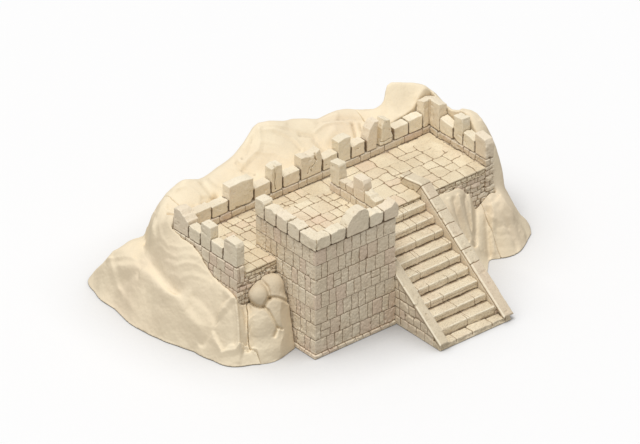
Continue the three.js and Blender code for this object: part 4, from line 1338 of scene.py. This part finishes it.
# silhouette of the hills: (u, v)
SKYLINE = [
    (84, 284), (88, 278), (93, 272), (98, 268), (103, 264), (108, 258), (113, 252),
    (118, 249.5), (123, 246), (128, 242.5), (133, 240), (138, 238), (143, 236.5),
    (145.3, 233), (146.3, 227), (148, 220), (150.5, 215), (153, 210), (158, 205), (163, 199),
    (168, 189.5), (173, 183), (178, 180), (186, 179), (193, 179.5), (198, 180), (203, 178.3),
    (208, 175), (213, 171), (218, 167), (223, 164), (228, 160.5), (233, 156), (238, 150),
    (243, 143.5), (248, 135.5), (253, 127.5), (258, 123.4), (268, 121), (283, 120),
    (293, 118.5), (308, 118), (318, 118.5), (323, 116), (328, 112.5), (333, 110),
    (343, 108.5), (368, 109), (374, 108.7), (378, 107), (382, 104), (384.5, 100), (386, 91),
    (388, 85), (392, 82), (413, 82), (423, 84), (428, 86.5), (433, 90), (438, 93), (443, 97),
    (448, 104), (453, 109), (463, 108.3), (472, 110), (478, 113), (483, 119), (488, 127),
    (493, 136.5), (498, 148), (502, 160), (504, 170), (505, 178), (506, 187), (509, 192.5),
    (513, 200), (518, 208.5), (523, 216), (528, 219.5), (532, 226), (534, 236), (540, 260)]
SKYLINE_U, SKYLINE_V = np.array(SKYLINE).T

# rounded ridges (+) and folds (-): width, height, line (u, v)
FOLDS = [
    (8, -2.6, [(147, 236.7), (152.4, 248.9), (157.7, 262.6), (166.8, 274.8), (177.5, 286.9)]),
    (7, 2, [(119.7, 271.7), (134.9, 268.7), (148.6, 277.8), (166.8, 296.1)]),
    (5, 0.7, [(120.4, 293.8), (127.3, 302.2), (133.4, 309.8)]),
    (7, 1.4, [(176, 299.1), (185.1, 311.3), (197.3, 326.5)]),
    (5.5, -1, [(197.3, 293), (211, 306.7), (218.6, 317.4)]),
    (3.5, -1, [(218.6, 315.9), (211, 332.6), (203.4, 341.7)]),
    (6, -3.6, [(248.7, 297.6), (249.8, 317.4), (249, 341.7)]),
    (2, 1.5, [(459.2, 196.8), (461.3, 209.3), (466.9, 225.9), (473.1, 241.2)]),
    (1.8, -1.6, [(453.7, 198.2), (456.5, 210.7), (461.3, 224.6), (468.3, 239.8)]),
    (2.2, 1.1, [(448.8, 200.2), (451.6, 210.7), (457.2, 225.9)]),
    (1.4, -1.6, [(464.8, 196.1), (466.9, 209.3), (471.1, 225.9), (473.8, 235.7)]),
    (1.7, 1.4, [(469.7, 196.8), (471.8, 210.7), (473.6, 228.7)]),
    (2.6, -1.8, [(476.3, 202.3), (476.3, 214.8), (475.9, 244)]),
    (5, 0.9, [(482.2, 209.3), (482.9, 228.7), (482.2, 249.6)]),
    (2.4, -1.6, [(487.7, 209.3), (487.4, 224.6), (489.1, 249.6), (491.9, 263.4)]),
    (2.6, -1.3, [(499.5, 205.1), (507.2, 220.4), (515.5, 238.4), (519.7, 253.7)]),
    (2.4, -0.3, [(487.7, 223.2), (498.8, 226.6), (508.6, 224.6)]),
    (2.4, -0.3, [(490.5, 232.9), (501.6, 235.7), (512.7, 232.9)]),
    (2.6, -0.25, [(494.7, 245.4), (507.2, 248.2), (516.9, 244)]),
    (2.5, -1.2, [(494.7, 188.4), (498.8, 194), (491.9, 202.3)]),
    (3, -0.6, [(157.7, 218.5), (156.9, 229.1), (158.5, 239.8)]),
    (1.8, -0.2, [(166.8, 256.5), (179, 260.3), (191.2, 258), (201.8, 261.1)]),
    (1.8, -0.2, [(171.4, 267.9), (182.1, 271.7), (194.2, 268.7), (206.4, 274)]),
    (4, 1.6, [(153.1, 215.4), (151.6, 226.1), (153.1, 235.2)]),
    (0.8, -3.2, [(168.4, 212.8), (177.5, 214.2)]),
    (2.4, -1.8, [(169.1, 206.3), (176, 209.3), (185.1, 204.8), (194.2, 206.3)]),
    (2.2, -2.2, [(203.4, 203.2), (211, 200.2), (215.5, 194.1)]),
    (3, -2.5, [(203.2, 181.9), (210.3, 190.5), (217.5, 196.2)]),
    (2, -1.6, [(203.2, 198.3), (216, 194.8)]),
    (2.4, -1.4, [(208.9, 177.6), (217.5, 184.8), (224.6, 187.6)]),
    (2.6, -2, [(236, 161.9), (243.2, 170.5), (254.6, 173.3)]),
    (2.6, 1.8, [(238.9, 161.2), (241.7, 164)]),
    (2.6, -1.4, [(251.7, 139), (248.9, 149), (241.7, 157.6)]),
    (3, -2.4, [(300.3, 133.3), (311.7, 134.8), (323.2, 149), (326, 156.2)]),
    (2, -0.6, [(274.6, 133.3), (291.7, 141.9), (300.3, 150.5)]),
    (2.2, -1.4, [(317.5, 121.9), (331.7, 117.6), (350.3, 117.6), (364.6, 119)]),
    (2, -2.8, [(352.5, 122.6), (354.9, 129), (356.7, 136.9)]),
    (1.6, -1.4, [(360.3, 123.3), (361.7, 129)]),
    (5, 1.4, [(334.6, 130.5), (328.9, 139)]),
    (3, -1.2, [(371.7, 117.6), (380.3, 116.2), (386, 110.5)]),
    (4, -1, [(386, 114), (400, 124), (410, 130)])]
# sharp ridges: width, height, line (u, v)
RIDGES = [
    (5, 0.8, [(109.8, 260.3), (114.3, 277.8), (120.4, 293.8)]),
    (3.5, 0.6, [(109.8, 260.3), (125.7, 256.5), (142.5, 261.1)]),
    (4.5, 1.5, [(236.1, 302.2), (239.1, 325), (240.7, 349.3)]),
    (4.2, 0.8, [(225.4, 309), (218.6, 323.5), (212.5, 337.2), (223.9, 351.6), (240.7, 349.3)]),
    (4, 0.9, [(217.1, 279.3), (226.2, 290), (236.1, 302.2)]),
    (3.6, 0.7, [(240.7, 349.3), (239.9, 361.5)]),
    (3, 0.7, [(240.7, 349.3), (249, 341.7), (256.6, 350.9)]),
    (4, 1.5, [(491.9, 199.6), (494.7, 214.8), (493.3, 235.7), (496.1, 260.7)]),
    (3.4, 1.3, [(501.6, 196.8), (512.7, 213.4), (522.4, 228.7), (528, 242.6)]),
    (3, 0.45, [(164.6, 213.9), (160, 224.5), (161.5, 236.7), (169.1, 245.8), (180.5, 247.4),
               (193.5, 245.8)]),
    (2.6, 0.3, [(159.2, 241.3), (166.8, 251.9), (176, 256.5), (188.1, 253.5), (198.8, 256.5)]),
    (2.6, 0.3, [(166.8, 259.5), (176, 265.6), (188.1, 262.6), (200.3, 265.6), (207.9, 271.7)]),
    (2.8, 0.3, [(172.9, 271.7), (180.5, 277.8), (191.2, 274.8), (203.4, 277.8), (211, 280.9)]),
    (3, 1, [(172.9, 189.5), (188.1, 186.5), (201.8, 197.1), (211, 195.6)]),
    (4, 1.6, [(258.9, 129), (260.3, 141.9), (258.2, 150.5), (246, 161.9)]),
    (2.6, 0.9, [(258.9, 130.5), (274.6, 129), (291.7, 136.2), (303.2, 149), (300.3, 156.2)]),
    (2, 0.8, [(268.9, 124.8), (288.9, 127.6), (306, 131.9), (311.7, 133.3)]),
    (2.4, 1, [(314.6, 131.9), (326, 123.3), (343.2, 121.2), (351.7, 124.8)]),
    (1.6, 0.5, [(263.2, 141.9), (280.3, 144.8), (296, 156.2)]),
    (1.6, 0.5, [(254.6, 153.3), (274.6, 153.3), (291.7, 161.9)]),
    (4, 0.6, [(388, 86), (392, 98), (398, 108), (404, 118)]),
    (4, 0.9, [(425, 86), (418, 96), (422, 108)])]
# creases between the boulders: width, depth, line (u, v)
CREASES = [
    (2.0, 1.8, [(259, 277), (263, 281), (267.5, 286), (269.5, 292), (270, 298)]),
    (1.7, 2.3, [(247, 296), (250.5, 301), (255, 304.5), (261, 307), (265, 305.5), (267.5, 301),
                (270, 297.6)]),
    (1.5, 1.9, [(270, 297.6), (275, 296.4), (281, 297.8), (290, 302)]),
    (1.4, 2.0, [(264, 306), (269, 310), (273, 317), (276, 323), (278, 327), (277, 330),
                (275, 335)]),
    (1.1, 1.6, [(277.6, 326), (282.5, 328)])]


def rounded_profile(ratio):
    return np.exp(-ratio ** 2)


def sharp_profile(ratio):
    return np.maximum(1 - ratio, 0)


def rock_height(x, y):
    x, y = np.asarray(x, float), np.asarray(y, float)
    height = smooth_height(x, y)
    total, weights = np.zeros(x.shape), np.full(x.shape, 1e-9)
    for cx, cy, level, slope_x, slope_y in SITES:
        dx, dy = x - cx, y - cy
        weight = np.exp(-(dx * dx + dy * dy) / (2 * 5.5 ** 2))
        total += weight * (level + slope_x * dx + slope_y * dy)
        weights += weight
    raised = np.clip(height / 20, 0, 1)         # the foot line on the table stays as drawn
    height = height + np.clip(total / weights - height, -3.0, 3.0) * 0.4 * raised
    for corners, soft in FACETS:
        points = np.array(corners, float)
        matrix = np.c_[np.ones(len(points)), points[:, 0], points[:, 1]]
        fit = np.linalg.lstsq(matrix, points[:, 2], rcond=None)[0]
        plane = fit[0] + fit[1] * x + fit[2] * y
        weight = fade(-soft, soft * 0.4, polygon_field(x, y, [p[:2] for p in corners]))
        height = height + weight * np.clip(plane - height, -5, 5)
    height = height + 0.6 * rough(x, y, 0.0, 1 / 28, 310, 3) * raised
    part = np.clip(height / 60, 0, 1)           # the low lobe swells out above its foot
    height = height + 16 * (part * (1 - part)) ** 2 * (
        13 * ease(150, 185, y) * (x < -20)
        + 3.5 * ease(60, 90, y) * fade(150, 185, y) * (x < -50))
    view_u, view_v = to_view(x, y, 0.0)
    # nothing rises above the skyline
    top = (view_v - np.interp(view_u, SKYLINE_U, SKYLINE_V)) / VIEW_RISE + 0.9
    height = smooth_min(height, top, 4.0)
    slope_x, slope_y = (s.clip(-4, 4) for s in np.gradient(height, x[:, 0], y[0, :]))
    steep = np.sqrt(1 + slope_x * slope_x + slope_y * slope_y)
    facing = ease(-0.05, 0.25, (0.547 * slope_x + 0.655 * slope_y + 0.521) / steep)
    view_v = view_v - VIEW_RISE * height
    detail = np.zeros(x.shape)
    for table, profile in ((FOLDS, rounded_profile), (RIDGES, sharp_profile)):
        for width, amount, points in table:
            (left, upper), (right, lower) = np.min(points, 0), np.max(points, 0)
            near = ((view_u > left - 3 * width) & (view_u < right + 3 * width)
                    & (view_v > upper - 3 * width) & (view_v < lower + 3 * width))
            dist = line_distance(view_u[near], view_v[near], points)
            detail[near] += amount * profile(dist / width)
    return height + detail * (facing * np.minimum(steep, 3.2) * ease(0, 6, height))


# rectangles kept clear for the terraces, tower and stair: x0, x1, y0, y1
BUILT = [(-50.4, 274.9, 56.6, 154.4), (-1.9, 100.4, -30, 60), (99.4, 192.8, -80, 60)]
# seam between the left hill and the front boulders: (x, y)
SEAM = [(-38.6, 58), (-41.5, 51), (-46.2, 45.5), (-49.6, 40), (-49.4, 35), (-46.5, 31.5),
        (-46, 15)]


def rock(name, zone, box, step, seed, shape=None, painted_shade=0.0):
    """One rock piece inside a zone (x, y); shape may remodel its field."""
    grid = make_grid(box, step)
    xs, ys, _ = grid
    flat_x, flat_y = np.meshgrid(xs, ys, indexing="ij")
    height = rock_height(flat_x, flat_y)
    slope_x, slope_y = np.gradient(height, xs.astype(float), ys.astype(float))
    steep = np.sqrt(1 + np.clip(slope_x * slope_x + slope_y * slope_y, 0, 12))
    border = polygon_field(flat_x, flat_y, zone) + 0.05
    built = np.full(flat_x.shape, -99.0)
    for x0, x1, y0, y1 in BUILT:
        out_x = np.abs(flat_x - (x0 + x1) / 2) - (x1 - x0) / 2
        out_y = np.abs(flat_y - (y0 + y1) / 2) - (y1 - y0) / 2
        dist = (np.hypot(np.maximum(out_x, 0), np.maximum(out_y, 0))
                + np.minimum(np.maximum(out_x, out_y), 0))
        built = np.maximum(built, 0.25 - dist)

    def field(x, y, z):
        body = ((z - height[:, :, None]) / steep[:, :, None]).astype(np.float32)
        if shape is not None:
            body = shape(x, y, z, body)
        # softened arris where the rock meets the built parts
        body = -smooth_min(-body, -built[:, :, None].astype(np.float32), 1.6)
        return np.maximum(np.maximum(body, border[:, :, None]), -z)

    def relief(x, y, z):
        inner = ease(0.2, 2.0, z) * ease(0.0, 3.0, -polygon_field(x, y, zone))
        carve = inner * (0.26 * rough(x, y, z, 1 / 11, seed, 3)
                         + 0.10 * rough(x, y, z, 0.55, seed + 4, 2))
        # painted shade on the upper part, growing from height 34 to 54
        return carve, painted_shade * ease(34, 54, z), 0.5 + 0.5 * rough(x, y, z, 0.02, seed + 6)

    build(name, f"rock_{name}", "rock", field, grid, relief, band=4.0, caps=((2, 0),),
          curv=(0.7, 0.55))


def ellipsoid(x, y, z, centre, radii):
    ratio = np.sqrt(((x - centre[0]) / radii[0]) ** 2 + ((y - centre[1]) / radii[1]) ** 2
                    + ((z - centre[2]) / radii[2]) ** 2)
    return (ratio - 1) * min(radii)


def boulders(x, y, z, body):
    """two large boulders on a low one, two smaller ones on top, and the creases between"""
    pair = ellipsoid(x, y, z, (-31, 45.0, 25), (15.5, 14.0, 27))
    pair = smooth_min(pair, ellipsoid(x, y, z, (-12, 44.0, 31), (15, 13, 28)), 12.0)
    body = smooth_min(body + 1.6, pair, 9.0)
    # centre, radii, width of the blend
    for centre, radii, width in (((-24, 39, 6), (25, 15, 15), 8.0),
                                 ((-28.5, 50.8, 58.6), (11.0, 10.0, 11.5), 3.6),
                                 ((-9.5, 50.8, 60.6), (12.0, 10.0, 13.5), 3.6)):
        body = smooth_min(body, ellipsoid(x, y, z, centre, radii), width)
    body = np.maximum(body, (x + 18) * 0.25 + (y - 30) * -0.93 + (z - 20) * 0.18 - 2.9)
    view_u, view_v = to_view(x, y, z)
    for width, depth, points in CREASES:
        body = body + depth * rounded_profile(line_distance(view_u, view_v, points) / width)
    return body.astype(np.float32)


rock("left_hill", SEAM[::-1] + [(-38.6, 100), (-45, 150), (-30, 150), (-30, 280), (-120, 280),
                                (-120, 15)], (-102, -30, 16, 264, 0, 112), 0.8, 320)
rock("front_boulders", [(-1, 15), (-1, 58)] + [(x + 0.35, y) for x, y in SEAM],
     (-52, -1, 14, 58, 0, 76), 0.55, 330, boulders, painted_shade=0.42)
rock("back_ridge", [(-29.9, 150), (208, 150), (208, 280), (-29.9, 280)],
     (-31, 210, 152, 266, 0, 132), 1.12, 340)
rock("peak", [(208.1, 150), (340, 150), (340, 280), (208.1, 280)],
     (207, 330, 148, 258, 0, 140), 0.85, 350)
rock("right_flank", [(256.1, 0), (340, 0), (340, 149.9), (270, 149.9), (270, 62), (256.1, 62)],
     (254, 330, 14, 152, 0, 122), 0.75, 360)
rock("right_buttress", [(190, 0), (256, 0), (256, 62), (190, 62)],
     (188, 258, -2, 60, 0, 82), 0.6, 370)

core = frame["nodes"]["terrace_core"]
core.data.materials.clear()
core.data.materials.append(MATERIALS["wall_masonry"])


# ------------------------------------------------------------ floor, light, camera
def floor_material():
    """near white to the camera, greyer to bounced light, with a painted shadow from ambient
    occlusion close to the model
    """
    material = bpy.data.materials.new("floor_white")
    material.use_nodes = True
    nodes, link = material.node_tree.nodes, material.node_tree.links.new
    shader = nodes["Principled BSDF"]
    path = nodes.new("ShaderNodeLightPath")
    colour = nodes.new("ShaderNodeMix")
    colour.data_type = "RGBA"
    link(path.outputs["Is Camera Ray"], colour.inputs[0])
    colour.inputs[6].default_value = (0.42, 0.40, 0.37, 1)
    colour.inputs[7].default_value = (0.925, 0.93, 0.945, 1)
    # painted shadow: the floor colour darkened by ambient occlusion near the model
    occlusion = nodes.new("ShaderNodeAmbientOcclusion")
    occlusion.inputs["Distance"].default_value = 0.055
    occlusion.samples = 12
    power = nodes.new("ShaderNodeMath")
    power.operation = "POWER"
    power.inputs[1].default_value = 0.55
    link(occlusion.outputs["AO"], power.inputs[0])
    shadow = nodes.new("ShaderNodeMix")
    shadow.data_type = "RGBA"
    shadow.blend_type = "MULTIPLY"
    shadow.inputs[0].default_value = 1.0
    link(colour.outputs[2], shadow.inputs[6])
    link(power.outputs[0], shadow.inputs[7])
    link(shadow.outputs[2], shader.inputs["Base Color"])
    shader.inputs["Roughness"].default_value = 1.0
    shader.inputs["Specular IOR Level"].default_value = 0.0
    return material


scene = bpy.context.scene
mesh = bpy.data.meshes.new("floor")
mesh.from_pydata([(x, y, -0.0002) for x, y in ((-6, -6), (6, -6), (6, 6), (-6, 6))], [],
                 [(0, 1, 2, 3)])
floor = bpy.data.objects.new("floor", mesh)
scene.collection.objects.link(floor)
mesh.materials.append(floor_material())

studio = bpy.data.worlds.new("studio")
scene.world = studio
studio.use_nodes = True
background = studio.node_tree.nodes["Background"]
background.inputs["Color"].default_value = (1.0, 0.995, 0.985, 1)
background.inputs["Strength"].default_value = 0.50

key_light = bpy.data.lights.new("key", "SUN")
key_light.energy = 1.86
key_light.angle = math.radians(30)
key_light.color = (1.0, 0.99, 0.97)
key = bpy.data.objects.new("key", key_light)
scene.collection.objects.link(key)
towards_sun = Vector((-0.28, -0.10, 0.95))
key.rotation_euler = (-towards_sun).to_track_quat("-Z", "Y").to_euler()

# the camera looks from the front left, from above
CAMERA_DISTANCE = 7.7272288      # m
TARGET = Vector(world(np.array([[101.5, 114.6, 60.0]]))[0])
lens = bpy.data.cameras.new("camera")
lens.lens = 600
lens.sensor_width = 36
lens.clip_start = 0.05
lens.clip_end = 30
camera = bpy.data.objects.new("camera", lens)
scene.collection.objects.link(camera)
azimuth, elevation = math.radians(-39.86), math.radians(31.4)
backward = Vector((math.sin(azimuth) * math.cos(elevation),
                   -math.cos(azimuth) * math.cos(elevation), math.sin(elevation)))
camera.location = TARGET + backward * CAMERA_DISTANCE
camera.rotation_euler = (-backward).to_track_quat("-Z", "Y").to_euler()
scene.camera = camera
scene.view_settings.view_transform = "Standard"
